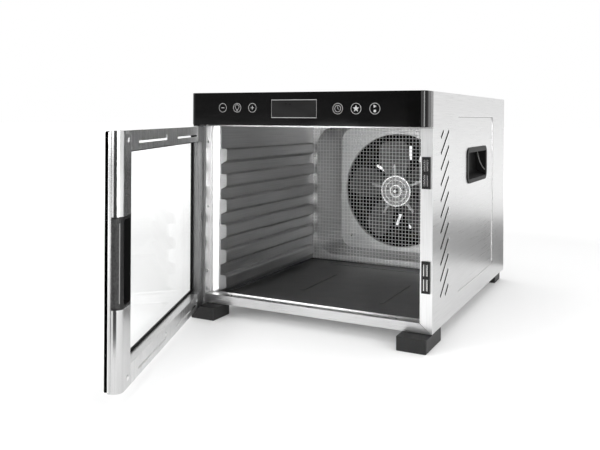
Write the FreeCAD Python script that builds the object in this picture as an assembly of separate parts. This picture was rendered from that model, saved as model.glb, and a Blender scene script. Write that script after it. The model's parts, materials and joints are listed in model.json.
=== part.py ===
import FreeCAD, Part
import math
import os

# Countertop food dehydrator: steel cabinet, hinged glass door, rear convection fan.
# Millimetres. X to the right, Y to the back, Z up. The origin is the centre of the
# cabinet's footprint on the worktop.

# ---------------------------------------------------------------- driving dimensions
# Cabinet
BODY_WIDTH = 340.0
BODY_DEPTH = 424.0
BODY_HEIGHT = 296.0
FOOT_HEIGHT = 18.0
SHELL = 1.0                # side, top, base and rear sheet
LINER = 0.8                # front frame and cavity sheet
BASE_FLANGE = 10.0
TOP_FLANGE = 12.0

# Front frame around the doorway
FACE_LEFT = 7.5
FACE_RIGHT = 15.5
SILL = 12.0
RETURN_DEPTH = 14.0
SILL_DEPTH = 15.0
SIDE_LIP = 4.0
SILL_LIP = 1.2
MITRE_GAP = 0.9

# Control fascia across the top of the front
FASCIA_HEIGHT = 44.0
FASCIA_PROUD = 26.0
FASCIA_WALL = 2.5
FASCIA_CORNER = 7.5
TRIM_DEPTH = 8.0
HEAD_REVEAL = 2.0          # doorway head below the fascia's lower edge
HINGE_BOSS_DROP = 2.0
HINGE_BOSS_WIDTH = 16.0
WINDOW_WIDTH = 65.4
WINDOW_HEIGHT = 22.8
WINDOW_CENTRE_X = -7.7
WINDOW_RISE = 22.1         # centre of the display above the fascia's lower edge

# Cavity with pressed tray rails
WALL_INSET = 20.0          # cavity wall from the outside of the cabinet
RAIL_PITCH = 36.4
LOWEST_RAIL = 35.3         # top of the lowest rail above the base
RAIL_REACH = 10.0
RAIL_NOSE = 17.0
RAIL_RAMP = 5.0
RAIL_BEND = 3.0
RAIL_FRONT = 20.0          # front edge of the cavity walls
RAIL_START_LEFT = 20.0     # front ends of the rails
RAIL_START_RIGHT = 48.0
RAIL_BACK_GAP = 16.0       # back ends of the rails to the back end of the cavity walls
RAIL_ROOM = 14.0           # least space above the highest rail
RAIL_EDGE = 3.0            # front flange beyond the cavity wall
MACHINE_DEPTH = 106.0      # back end of the cavity walls to the rear of the cabinet
FLOOR_HEIGHT = 7.0
TRAY_SHEET = 0.8
TRAY_RIM = 2.4
TRAY_MARGIN = 4.0

# Fan guard, shroud and fan
WIRE_RADIUS = 0.45
WIRE_PITCH = 6.0
GUARD_RIM = 3.0
PAN_MARGIN = 10.0
PAN_DEPTH = 38.0
PAN_TAPER = 31.0
PAN_TAPER_HEIGHT = 8.0
PAN_CORNER = 32.0
PLATE_CORNER = 22.0
FAN_HEIGHT = 134.5         # fan axis above the base
FAN_HOLE_RADIUS = 100.0
FAN_COLLAR = 6.0
BLADE_COUNT = 5
BLADE_TIP = 92.0
BLADE_WIDTH = 54.0
BLADE_ROOT_WIDTH = 20.0
BLADE_PITCH = 26.0
BLADE_PHASE = 95.0
BLADE_SHEET = 1.2
HUB_RADIUS = 25.0
HUB_RIB_REACH = 47.0
SHAFT_RADIUS = 3.0
SHAFT_CLEARANCE = 0.04
HEATER_GAP = 18.0          # half the gap between the two tails
HEATER_RADIUS = 84.0
HEATER_TUBE = 3.2
STATOR_HALF = 25.0
STATOR_STACK = 16.0
ROTOR_RADIUS = 13.0
ROTOR_GAP = 0.4
MOTOR_DISC_RADIUS = 46.0
MOTOR_POST_RING = 42.0

# Rear vents and side slits
VENT_COUNT = 18
VENT_INNER = 50.0
VENT_OUTER = 77.0
VENT_WIDTH = 5.0
SLIT_WIDTH = 2.6
SLIT_FRONT = 35.0
SLIT_RUN = 36.0
SLIT_RISE = 28.8
SLIT_PITCH = 20.0
SLIT_LOW = 36.0
SLIT_HIGH = 247.0

# Carry handles in the sides
EMBOSS = 1.0
PANEL_FRONT = 115.0
PANEL_BACK_INSET = 90.0    # back edge of the raised field to the rear of the cabinet
PANEL_LOW = 26.0
PANEL_HIGH = 264.0
CUP_BEHIND = 5.0           # centre of the cup behind the middle of the raised field
CUP_CENTRE_HEIGHT = 194.9
CUP_LENGTH = 122.0
CUP_HEIGHT = 51.8
CUP_CORNER = 12.0
CUP_BEZEL = 7.0
CUP_BEZEL_PROUD = 1.4
CUP_POCKET = 15.0
CUP_WALL = 1.5

# Feet
FRONT_FOOT_LENGTH = 63.0
HINGE_FOOT_LENGTH = 40.0   # front foot on the hinge side
REAR_FOOT_LENGTH = 38.0
FOOT_WIDTH = 38.0
FOOT_PROUD = 23.0
REAR_FOOT_INSET = 6.0
FOOT_GAP = 0.6
FOOT_SCREW = 2.0
FOOT_SCREW_BACK = 9.5      # screw from the foot's back edge

# Door
DOOR_OPEN = 68.0           # angle the door stands open in the stored pose
DOOR_GAP = 3.5             # frame face to the closed door's inner face
DOOR_CLEAR_TOP = 0.6
DOOR_CLEAR_BOTTOM = 1.0
DOOR_RAIL = 20.0
DOOR_CHANNEL = 12.5
DOOR_BORDER = 0.8          # black frame between the steel and the pane
DOOR_BORDER_HINGE = 9.0    # part of it that shows beside the hinge edge
DOOR_BORDER_RIM = 4.0      # its width along the top and bottom edges
DOOR_PANE = 3.3
RAIL_SLOT = 2.4
RAIL_SLOT_INSET = 45.5     # outer ends of the rail slots
RAIL_SLOT_GAP = 45.0
HINGE_EDGE = 5.0
COLUMN_WIDTH = 27.0
COLUMN_ROUND = 8.0
COLUMN_WALL = 1.5
GRIP_LOW = 80.0
GRIP_HIGH = 168.0
GRIP_DEPTH = 10.0
GRIP_POCKET_WIDTH = 18.5
GRIP_SKIN = 2.6
GASKET_LEDGE = 2.5
GASKET_LIP = 1.2
COLUMN_SCREW_X = 8.0
COLUMN_SCREW_IN = 9.5
PIVOT_IN = 4.5             # hinge axis from the door's left end
PIVOT_DEEP = 5.5           # hinge axis from the door's inner face
PIN_RADIUS = 2.0
PIN_CLEARANCE = 0.05
BUSH_RADIUS = 3.2
BUSH_LENGTH = 12.0

# Magnetic catches
CATCH_WIDTH = 10.8
CATCH_HEIGHT = 39.0
CATCH_END = (69.0, 53.8)   # catch centres from the base and from the doorway head
CATCH_PROUD = 2.2
CATCH_GAP = 0.4            # closed door to the pole plates
CATCH_LEDGE = 1.0
CATCH_BODY = 10.0
POLE_WIDTH = 0.9
POLE_SPACING = 4.4
POLE_HEIGHT = 14.0
POLE_STEP = 9.0

# Rear panel and mains inlet
INLET_SIDE = 52.0          # inlet centre from the left side
INLET_RISE = 40.0
INLET_WIDTH = 27.0
INLET_HEIGHT = 20.0
INLET_FLANGE = 4.0
INLET_BODY = 22.0
INLET_RECESS = 15.0
BAY_VENTS = 14
BAY_VENT_PITCH = 10.0
PANEL_SCREW = 1.5

# Rivets
RIVET_DEPTH = 6.0
RIVET_SHANK = 1.2
RIVET_HEAD = 2.3
RIVET_DOME = 0.8
SCREW_HEAD = 3.0           # dome screws of the door column
SCREW_DOME = 1.2
RIVET_END = (43.1, 22.7)   # end rivets of an upright from the base and from the head
SILL_RIVET_INSET = 47.5

# Boards above the cavity
CABLE_HOLE_HALF = 26.0
BOARD_RISE = 8.0
BOARD_SHEET = 1.6
POWER_BOARD_WIDTH = 130.0
POWER_BOARD_DEPTH = 130.0
POWER_BOARD_FRONT = 60.0   # its front edge from the front of the cabinet

# Small parts of the fan bay
CORNER_SPOT = 84.0
PROBE_RADIUS = 2.5
HUB_SHEET = 2.0
MOTOR_PLATE = 1.5

# Hinge brackets
BRACKET_WIDTH = 11.0
BRACKET_TONGUE = 26.0
BRACKET_SHEET = 2.0

# ---------------------------------------------------------------- reference planes
LEFT = -BODY_WIDTH / 2
RIGHT = BODY_WIDTH / 2
FRONT = -BODY_DEPTH / 2
BACK = BODY_DEPTH / 2
BASE = FOOT_HEIGHT
TOP = BASE + BODY_HEIGHT
FASCIA_LOW = TOP - FASCIA_HEIGHT
HEAD = FASCIA_LOW - HEAD_REVEAL
RAIL_COUNT = int((HEAD - BASE - LOWEST_RAIL - RAIL_ROOM) / RAIL_PITCH) + 1
SILL_TOP = BASE + SILL
CAVITY_HALF = BODY_WIDTH / 2 - WALL_INSET
FAN_Z = BASE + FAN_HEIGHT
CAVITY_DEPTH = BODY_DEPTH - MACHINE_DEPTH
RAIL_END = CAVITY_DEPTH - RAIL_BACK_GAP
PANEL_BACK = BODY_DEPTH - PANEL_BACK_INSET
CUP_CENTRE_DEPTH = (PANEL_FRONT + PANEL_BACK) / 2 + CUP_BEHIND
GUARD_Y = FRONT + CAVITY_DEPTH
PAN_Y = GUARD_Y + LINER
PLATE_Y = PAN_Y + PAN_DEPTH
TRAY_Z = BASE + FLOOR_HEIGHT
DOOR_LOW = BASE + DOOR_CLEAR_BOTTOM
DOOR_HIGH = FASCIA_LOW - HINGE_BOSS_DROP - DOOR_CLEAR_TOP
COLUMN_LEFT = RIGHT - COLUMN_WIDTH
PIVOT_X = LEFT + PIVOT_IN
PIVOT_Y = FRONT - DOOR_GAP - PIVOT_DEEP
PANE_DEPTH = DOOR_CHANNEL + DOOR_BORDER

INLET_X = LEFT + INLET_SIDE
INLET_Z = BASE + INLET_RISE
CATCH_X = RIGHT - FACE_RIGHT / 2
CATCH_HEIGHTS = (CATCH_END[0], HEAD - BASE - CATCH_END[1])
RIVET_TOP = HEAD - BASE - RIVET_END[1]
RIVET_HEIGHTS = (RIVET_END[0], (RIVET_END[0] + RIVET_TOP) / 2, RIVET_TOP)
SILL_RIVETS = (LEFT + SILL_RIVET_INSET, 0.0, RIGHT - SILL_RIVET_INSET)
POWER_BOARD_X = -POWER_BOARD_WIDTH / 2
POWER_BOARD_Y = FRONT + POWER_BOARD_FRONT
HUB_Y = PLATE_Y - 9.0
BLADE_Y = HUB_Y + HUB_SHEET
HEATER_Y = BLADE_Y + 27.0
MOTOR_DISC_Y = HEATER_Y + 8.0
STATOR_Y = MOTOR_DISC_Y + 6.0

X_AXIS = FreeCAD.Vector(1, 0, 0)
Y_AXIS = FreeCAD.Vector(0, 1, 0)
Z_AXIS = FreeCAD.Vector(0, 0, 1)
ORIGIN = FreeCAD.Vector(0, 0, 0)


# ---------------------------------------------------------------- shape helpers
def block(x0, x1, y0, y1, z0, z1):
    """Box between two corners."""
    return Part.makeBox(x1 - x0, y1 - y0, z1 - z0, FreeCAD.Vector(x0, y0, z0))


def rod(radius, x, y, z, axis, length):
    """Cylinder that starts at a point and runs along an axis."""
    return Part.makeCylinder(radius, length, FreeCAD.Vector(x, y, z), axis)


def tube(outer, inner, x, y, z, axis, length):
    """Round tube."""
    return rod(outer, x, y, z, axis, length).cut(rod(inner, x, y, z, axis, length))


def rectangle(u0, u1, v0, v1, radius=0.0):
    """Corners of a rectangle, each with the same radius."""
    return [(u0, v0, radius), (u1, v0, radius), (u1, v1, radius), (u0, v1, radius)]


def outline(corners, place):
    """Closed wire through (u, v, radius) corners; place turns u, v into a point."""
    count = len(corners)
    flat = [FreeCAD.Vector(u, v, 0) for u, v, _ in corners]
    stations = []
    for i, (_, _, radius) in enumerate(corners):
        before = flat[i - 1] - flat[i]
        after = flat[(i + 1) % count] - flat[i]
        before.normalize()
        after.normalize()
        half = before.getAngle(after) / 2
        reach = radius / math.tan(half)
        bisector = before + after
        if radius > 0:
            bisector.normalize()
        crown = flat[i] + bisector * (radius / math.sin(half) - radius)
        stations.append((flat[i] + before * reach, crown, flat[i] + after * reach))
    edges = []
    for i, (start, crown, end) in enumerate(stations):
        following = stations[(i + 1) % count][0]
        if corners[i][2] > 0:
            arc = Part.Arc(place(start), place(crown), place(end))
            edges.append(arc.toShape())
        if (following - end).Length > 1e-6:
            edges.append(Part.makeLine(place(end), place(following)))
    return Part.Wire(edges)


def prism(corners, axis, start, end):
    """Outline in the plane across axis, extruded from start to end along it."""
    places = {
        "x": lambda p: FreeCAD.Vector(start, p.x, p.y),
        "y": lambda p: FreeCAD.Vector(p.x, start, p.y),
        "z": lambda p: FreeCAD.Vector(p.x, p.y, start),
    }
    direction = {"x": X_AXIS, "y": Y_AXIS, "z": Z_AXIS}[axis]
    wire = outline(corners, places[axis])
    return Part.Face(wire).extrude(direction * (end - start))


def ring(outer, inner, axis, start, end):
    """Flat ring between two outlines."""
    return prism(outer, axis, start, end).cut(prism(inner, axis, start - 1, end + 1))


def slot(u0, v0, u1, v1, width, axis, start, end):
    """Round-ended slot between two points, as a cutting tool."""
    length = math.hypot(u1 - u0, v1 - v0)
    du, dv = (u1 - u0) / length, (v1 - v0) / length
    half = width / 2
    radius = half * 0.96
    corners = [
        (u0 - dv * half, v0 + du * half, radius),
        (u0 + dv * half, v0 - du * half, radius),
        (u1 + dv * half, v1 - du * half, radius),
        (u1 - dv * half, v1 + du * half, radius),
    ]
    return prism(corners, axis, start, end)


def mirrored(shape):
    """Copy on the other side of the cabinet's middle plane."""
    return shape.mirror(ORIGIN, X_AXIS)


def turned(shape, x, z, angle):
    """Copy turned about a fore-and-aft axis."""
    copy = shape.copy()
    copy.rotate(FreeCAD.Vector(x, 0, z), Y_AXIS, angle)
    return copy


def save(node, shapes):
    """Write one node: a solid, or a group of separate solids."""
    solids = [s for shape in shapes for s in shape.Solids]
    for solid in solids:
        if not solid.isValid() or not solid.isClosed():
            raise ValueError(node + " holds a bad solid")
    shape = solids[0] if len(solids) == 1 else Part.makeCompound(solids)
    shape.exportStep("parts/" + node + ".step")


# ---------------------------------------------------------------- outer cabinet
def side_slits(x0, x1):
    """Slanted vent slits of one side, clipped to a level band top and bottom."""
    cuts = []
    low = BASE + SLIT_LOW
    high = BASE + SLIT_HIGH
    slope = SLIT_RISE / SLIT_RUN
    rows = math.floor((SLIT_HIGH - SLIT_LOW - SLIT_RISE) / SLIT_PITCH) + 1
    first = high - SLIT_RISE
    for row in range(-1, rows + 1):
        z_front = first - row * SLIT_PITCH
        z_back = z_front + SLIT_RISE
        start = max(z_front, low)
        end = min(z_back, high)
        if end - start < SLIT_RISE / 5:
            continue
        y_start = FRONT + SLIT_FRONT + (start - z_front) / slope
        y_end = FRONT + SLIT_FRONT + (end - z_front) / slope
        cuts.append(slot(y_start, start, y_end, end, SLIT_WIDTH, "x", x0, x1))
    return cuts


def cup_outline(margin, radius):
    """Handle opening seen from the side, shrunk by a margin."""
    y_mid = FRONT + CUP_CENTRE_DEPTH
    z_mid = BASE + CUP_CENTRE_HEIGHT
    half_long = CUP_LENGTH / 2 - margin
    half_high = CUP_HEIGHT / 2 - margin
    return rectangle(y_mid - half_long, y_mid + half_long, z_mid - half_high, z_mid + half_high, radius)


def side_panel():
    """Right side sheet with slits, a sunk field and the handle opening."""
    inner = RIGHT - SHELL
    sheet = block(inner, RIGHT, FRONT + LINER, BACK, BASE, TOP)
    field = rectangle(FRONT + PANEL_FRONT, FRONT + PANEL_BACK, BASE + PANEL_LOW, BASE + PANEL_HIGH, 8.0)
    sheet = sheet.fuse(prism(field, "x", inner - EMBOSS, inner))
    sheet = sheet.cut(prism(field, "x", RIGHT - EMBOSS, RIGHT + 1))
    sheet = sheet.cut(prism(cup_outline(3.0, CUP_CORNER - 3.0), "x", inner - 5, RIGHT + 1))
    return sheet.cut(side_slits(inner - 1, RIGHT + 1)).removeSplitter()


def handle_cup():
    """Right carry-handle cup: bezel on the sheet and a scooped pocket behind it."""
    face = RIGHT - EMBOSS
    rear = face - CUP_POCKET - CUP_WALL
    bezel = prism(cup_outline(0, CUP_CORNER), "x", face, face + CUP_BEZEL_PROUD)
    tub = prism(cup_outline(3.3, CUP_CORNER - 3.3), "x", rear, face)
    y_mid = FRONT + CUP_CENTRE_DEPTH
    half_long = CUP_LENGTH / 2 - CUP_BEZEL
    low = BASE + CUP_CENTRE_HEIGHT - CUP_HEIGHT / 2 + CUP_BEZEL
    high = BASE + CUP_CENTRE_HEIGHT + CUP_HEIGHT / 2 - CUP_BEZEL
    deep = face - CUP_POCKET
    mouth = RIGHT + 5
    lift = (mouth - deep) * 0.4
    scoop = [(mouth, low - 3, 0), (deep, low + lift - 3, 7.0), (deep, high + 1.5, 3.0), (mouth, high - 1, 0)]
    pocket = prism(scoop, "y", y_mid - half_long, y_mid + half_long)
    return bezel.fuse(tub).cut(pocket).removeSplitter()


def top_panel():
    """Top sheet with a folded flange down each side."""
    y0, y1 = FRONT + LINER, BACK - SHELL
    sheet = block(LEFT + SHELL, RIGHT - SHELL, y0, y1, TOP - SHELL, TOP)
    flange = block(RIGHT - 2 * SHELL, RIGHT - SHELL, y0, y1, TOP - TOP_FLANGE, TOP - SHELL)
    return sheet.fuse([flange, mirrored(flange)]).removeSplitter()


def base_plate():
    """Bottom sheet with a folded flange up each side and the foot screw holes."""
    y0, y1 = FRONT + LINER, BACK - SHELL
    sheet = block(LEFT + SHELL, RIGHT - SHELL, y0, y1, BASE, BASE + SHELL)
    flange = block(RIGHT - 2 * SHELL, RIGHT - SHELL, y0, y1, BASE + SHELL, BASE + BASE_FLANGE)
    sheet = sheet.fuse([flange, mirrored(flange)])
    holes = [rod(FOOT_SCREW, x, y, BASE - 1, Z_AXIS, SHELL + 2) for x, y in foot_centres()]
    return sheet.cut(holes).removeSplitter()




def rear_screw_points():
    """Screws round the rear panel, and those that hold the motor posts."""
    points = []
    for x in (LEFT + 12, 0, RIGHT - 12):
        points.append((x, BASE + 8))
        points.append((x, TOP - 8))
    points.append((LEFT + 12, FAN_Z))
    points.append((RIGHT - 12, FAN_Z))
    return points + motor_post_points()


def motor_post_points():
    """Four posts on a circle round the fan axis."""
    reach = MOTOR_POST_RING * math.sqrt(0.5)
    return [(sx * reach, FAN_Z + sz * reach) for sx in (-1, 1) for sz in (-1, 1)]


def rear_panel():
    """Back sheet with a wheel of radial vents, bay vents and the inlet opening."""
    y0 = BACK - SHELL
    sheet = block(LEFT + SHELL, RIGHT - SHELL, y0, BACK, BASE, TOP)
    cuts = []
    for i in range(VENT_COUNT):
        angle = math.radians(360.0 / VENT_COUNT * (i + 0.5))
        c, s = math.cos(angle), math.sin(angle)
        cuts.append(
            slot(VENT_INNER * c, FAN_Z + VENT_INNER * s, VENT_OUTER * c, FAN_Z + VENT_OUTER * s,
                 VENT_WIDTH, "y", y0 - 1, BACK + 1)
        )
    for i in range(BAY_VENTS):
        x = (i - (BAY_VENTS - 1) / 2) * BAY_VENT_PITCH
        cuts.append(slot(x, FASCIA_LOW + 10, x, FASCIA_LOW + 30, 3.0, "y", y0 - 1, BACK + 1))
    opening = rectangle(INLET_X - INLET_WIDTH / 2, INLET_X + INLET_WIDTH / 2,
                        INLET_Z - INLET_HEIGHT / 2, INLET_Z + INLET_HEIGHT / 2, 2.0)
    cuts.append(prism(opening, "y", y0 - 1, BACK + 1))
    for x, z in rear_screw_points():
        cuts.append(rod(PANEL_SCREW, x, y0 - 1, z, Y_AXIS, SHELL + 2))
    return sheet.cut(cuts)


def panel_screw(x, z):
    """Pan-head screw that enters the rear panel from behind."""
    head = rod(3.0, x, BACK, z, Y_AXIS, 1.8)
    shank = rod(PANEL_SCREW, x, BACK - 7, z, Y_AXIS, 7.5)
    cross = block(x - 0.4, x + 0.4, BACK + 0.9, BACK + 3, z - 1.8, z + 1.8)
    cross = cross.fuse(block(x - 1.8, x + 1.8, BACK + 0.9, BACK + 3, z - 0.4, z + 0.4))
    return head.fuse(shank).cut(cross)


def mains_inlet():
    """Appliance inlet: flange outside the panel, recessed body inside it."""
    half_w, half_h = INLET_WIDTH / 2, INLET_HEIGHT / 2
    flange = prism(
        rectangle(INLET_X - half_w - INLET_FLANGE, INLET_X + half_w + INLET_FLANGE,
                  INLET_Z - half_h - INLET_FLANGE, INLET_Z + half_h + INLET_FLANGE, 3.0),
        "y", BACK, BACK + 2.5)
    body = prism(
        rectangle(INLET_X - half_w + 0.2, INLET_X + half_w - 0.2,
                  INLET_Z - half_h + 0.2, INLET_Z + half_h - 0.2, 1.8),
        "y", BACK - INLET_BODY, BACK)
    recess = [
        (INLET_X - half_w + 2, INLET_Z - half_h + 2, 1.0),
        (INLET_X + half_w - 2, INLET_Z - half_h + 2, 1.0),
        (INLET_X + half_w - 2, INLET_Z + half_h - 6, 1.0),
        (INLET_X + half_w - 6, INLET_Z + half_h - 2, 1.0),
        (INLET_X - half_w + 6, INLET_Z + half_h - 2, 1.0),
        (INLET_X - half_w + 2, INLET_Z + half_h - 6, 1.0),
    ]
    return flange.fuse(body).cut(prism(recess, "y", BACK + 2.5 - INLET_RECESS, BACK + 3)).removeSplitter()


def inlet_pins():
    """Line, neutral and earth pins standing in the inlet's recess."""
    floor_y = BACK + 2.5 - INLET_RECESS
    places = ((-7.0, -1.0), (7.0, -1.0), (0.0, 2.5))
    return [
        block(INLET_X + x - 1, INLET_X + x + 1, floor_y, floor_y + 9.5, INLET_Z + z - 2, INLET_Z + z + 2)
        for x, z in places
    ]


# ---------------------------------------------------------------- feet
def foot_boxes():
    """Footprint of each foot: x0, x1, y0, y1."""
    toe = FRONT - FOOT_PROUD
    heel = BACK - REAR_FOOT_LENGTH
    rear = RIGHT - REAR_FOOT_INSET
    return [
        (RIGHT - FOOT_WIDTH, RIGHT, toe, toe + FRONT_FOOT_LENGTH),
        (LEFT, LEFT + FOOT_WIDTH, toe, toe + HINGE_FOOT_LENGTH),
        (rear - FOOT_WIDTH, rear, heel, BACK),
        (-rear, FOOT_WIDTH - rear, heel, BACK),
    ]


def foot_centres():
    """Screw position of each foot, under the base plate."""
    return [((x0 + x1) / 2, y1 - FOOT_SCREW_BACK) for x0, x1, _, y1 in foot_boxes()]


def feet():
    """Four moulded feet, each with a neck up to the base and a screw recess below."""
    solids = []
    for (x0, x1, y0, y1), (x, y) in zip(foot_boxes(), foot_centres()):
        pad = block(x0, x1, y0, y1, 0, BASE - FOOT_GAP)
        edges = [e for e in pad.Edges if e.BoundBox.ZMin < 0.01 or e.BoundBox.ZLength > 1]
        pad = pad.makeFillet(1.6, edges)
        neck = rod(8.0, x, y, BASE - FOOT_GAP, Z_AXIS, FOOT_GAP)
        recess = rod(5.0, x, y, -1, Z_AXIS, 8)
        hole = rod(FOOT_SCREW, x, y, 0, Z_AXIS, BASE + 1)
        solids.append(pad.fuse(neck).cut([recess, hole, bracket_relief()]).removeSplitter())
    return solids


def bracket_relief():
    """Room in the hinge-side foot for the lower hinge bracket."""
    return block(LEFT - 1, LEFT + BRACKET_WIDTH + 0.4, PIVOT_Y - 5.4, FRONT + BRACKET_TONGUE + 1,
                 BASE - BRACKET_SHEET - 0.4, BASE + 1)


def foot_screws():
    """Pan-head screws up through the feet into the base plate."""
    screws = []
    for x, y in foot_centres():
        head = rod(4.0, x, y, 4.6, Z_AXIS, 2.4)
        shank = rod(FOOT_SCREW, x, y, 7, Z_AXIS, BASE + SHELL - 7)
        cross = block(x - 0.5, x + 0.5, y - 2.4, y + 2.4, 4.5, 5.6)
        cross = cross.fuse(block(x - 2.4, x + 2.4, y - 0.5, y + 0.5, 4.5, 5.6))
        screws.append(head.fuse(shank).cut(cross))
    return screws


# ---------------------------------------------------------------- front frame
def frame_left():
    """Left upright: narrow face, return into the doorway and an inward lip."""
    edge = LEFT + FACE_LEFT
    face = prism([(LEFT, BASE, 0), (edge, SILL_TOP, 0), (edge, HEAD, 0), (LEFT, HEAD, 0)],
                 "y", FRONT, FRONT + LINER)
    fold = block(edge - LINER, edge, FRONT, FRONT + RETURN_DEPTH, SILL_TOP, HEAD)
    lip = block(edge - LINER, edge + SIDE_LIP, FRONT + RETURN_DEPTH - LINER, FRONT + RETURN_DEPTH,
                SILL_TOP, HEAD)
    holes = [rod(RIVET_SHANK, edge - 5, FRONT + RIVET_DEPTH, BASE + z, X_AXIS, 10) for z in RIVET_HEIGHTS]
    return face.fuse([fold, lip]).cut(holes).removeSplitter()


def frame_right():
    """Right upright: wide face with two catch openings, return and lip."""
    edge = RIGHT - FACE_RIGHT
    face = prism([(RIGHT, BASE, 0), (edge, SILL_TOP, 0), (edge, HEAD, 0), (RIGHT, HEAD, 0)],
                 "y", FRONT, FRONT + LINER)
    fold = block(edge, edge + LINER, FRONT, FRONT + RETURN_DEPTH, SILL_TOP, HEAD)
    lip = block(edge - SIDE_LIP, edge + LINER, FRONT + RETURN_DEPTH - LINER, FRONT + RETURN_DEPTH,
                SILL_TOP, HEAD)
    holes = [rod(RIVET_SHANK, edge - 5, FRONT + RIVET_DEPTH, BASE + z, X_AXIS, 10) for z in RIVET_HEIGHTS]
    for z in CATCH_HEIGHTS:
        holes.append(catch_box(z, CATCH_LEDGE - 0.1, FRONT - 1, FRONT + 5))
    return face.fuse([fold, lip]).cut(holes).removeSplitter()


def frame_bottom():
    """Sill: face, tread going back and a small upstand, with mitred ends."""
    x0, x1 = LEFT + FACE_LEFT, RIGHT - FACE_RIGHT
    gap = MITRE_GAP
    corners = [
        (LEFT + gap, BASE, 0),
        (RIGHT - gap, BASE, 0),
        (x1 - gap, SILL_TOP, 0),
        (x0 + gap, SILL_TOP, 0),
    ]
    face = prism(corners, "y", FRONT, FRONT + LINER)
    tread = block(x0 + gap, x1 - gap, FRONT, FRONT + SILL_DEPTH, SILL_TOP - LINER, SILL_TOP)
    lip = block(x0 + SIDE_LIP + gap, x1 - SIDE_LIP - gap, FRONT + SILL_DEPTH - LINER, FRONT + SILL_DEPTH,
                SILL_TOP - LINER, SILL_TOP + SILL_LIP)
    holes = [rod(RIVET_SHANK, x, FRONT + RIVET_DEPTH, SILL_TOP - 5, Z_AXIS, 10) for x in SILL_RIVETS]
    return face.fuse([tread, lip]).cut(holes).removeSplitter()




def frame_top():
    """Head: upright sheet behind the fascia and a fold over the doorway."""
    sheet = block(LEFT + SHELL, RIGHT - SHELL, FRONT, FRONT + LINER, HEAD, TOP - SHELL)
    fold = block(LEFT + SHELL, RIGHT - SHELL, FRONT, FRONT + SILL_DEPTH, HEAD, HEAD + LINER)
    opening = rectangle(-CABLE_HOLE_HALF, CABLE_HOLE_HALF, FASCIA_LOW + 14, FASCIA_LOW + 30, 3.0)
    return sheet.fuse(fold).cut(prism(opening, "y", FRONT - 1, FRONT + 3)).removeSplitter()




def rivet(x, y, z, outward, head=RIVET_HEAD, dome=RIVET_DOME):
    """Round-head rivet: dome on the surface at x, y, z, shank through the sheet."""
    foot = FreeCAD.Vector(x, y, z)
    shank = Part.makeCylinder(RIVET_SHANK, 2.4, foot - outward * 2.2, outward)
    dome_radius = (head**2 + dome**2) / (2 * dome)
    ball = Part.makeSphere(dome_radius, foot + outward * (dome - dome_radius))
    cap = ball.common(Part.makeCylinder(head * 1.2, dome * 2, foot, outward))
    return cap.fuse(shank)


def frame_rivets():
    """Rivets on the returns of the two uprights and on the sill."""
    y = FRONT + RIVET_DEPTH
    solids = [rivet(LEFT + FACE_LEFT, y, BASE + z, X_AXIS) for z in RIVET_HEIGHTS]
    solids += [rivet(RIGHT - FACE_RIGHT, y, BASE + z, X_AXIS * -1) for z in RIVET_HEIGHTS]
    solids += [rivet(x, y, SILL_TOP, Z_AXIS) for x in SILL_RIVETS]
    return solids


# ---------------------------------------------------------------- magnetic catches


def catch_box(height, margin, y0, y1):
    """Rectangular block on a catch centre, shrunk by a margin."""
    half_w = CATCH_WIDTH / 2 - margin
    half_h = CATCH_HEIGHT / 2 - margin
    z = BASE + height
    return block(CATCH_X - half_w, CATCH_X + half_w, y0, y1, z - half_h, z + half_h)


def catch_cells(height, margin):
    """Two stacked pole-and-magnet cells of one catch."""
    half = (POLE_SPACING + POLE_WIDTH) / 2 + margin
    cells = []
    for side in (-1, 1):
        z = BASE + height + side * POLE_STEP
        reach = POLE_HEIGHT / 2 + margin
        cells.append((CATCH_X - half, CATCH_X + half, z - reach, z + reach))
    return cells


def catch_housings():
    """Plastic housings set through the right upright."""
    solids = []
    for height in CATCH_HEIGHTS:
        flange = catch_box(height, 0, FRONT - CATCH_PROUD, FRONT)
        body = catch_box(height, CATCH_LEDGE, FRONT, FRONT + CATCH_BODY)
        cells = [block(x0, x1, FRONT - 5, FRONT + CATCH_BODY - 2, z0, z1)
                 for x0, x1, z0, z1 in catch_cells(height, 0)]
        solids.append(flange.fuse(body).cut(cells).removeSplitter())
    return solids


def catch_pole_plates():
    """Steel pole plates that meet the closed door."""
    front = FRONT - DOOR_GAP + CATCH_GAP
    solids = []
    for height in CATCH_HEIGHTS:
        for x0, x1, z0, z1 in catch_cells(height, 0):
            solids.append(block(x0, x0 + POLE_WIDTH, front, FRONT + CATCH_BODY - 2, z0, z1))
            solids.append(block(x1 - POLE_WIDTH, x1, front, FRONT + CATCH_BODY - 2, z0, z1))
    return solids


def catch_magnets():
    """Magnet between each pair of pole plates."""
    solids = []
    for height in CATCH_HEIGHTS:
        for x0, x1, z0, z1 in catch_cells(height, 0):
            solids.append(block(x0 + POLE_WIDTH, x1 - POLE_WIDTH, FRONT - CATCH_PROUD + 0.4,
                                FRONT + CATCH_BODY - 2, z0, z1))
    return solids


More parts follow.
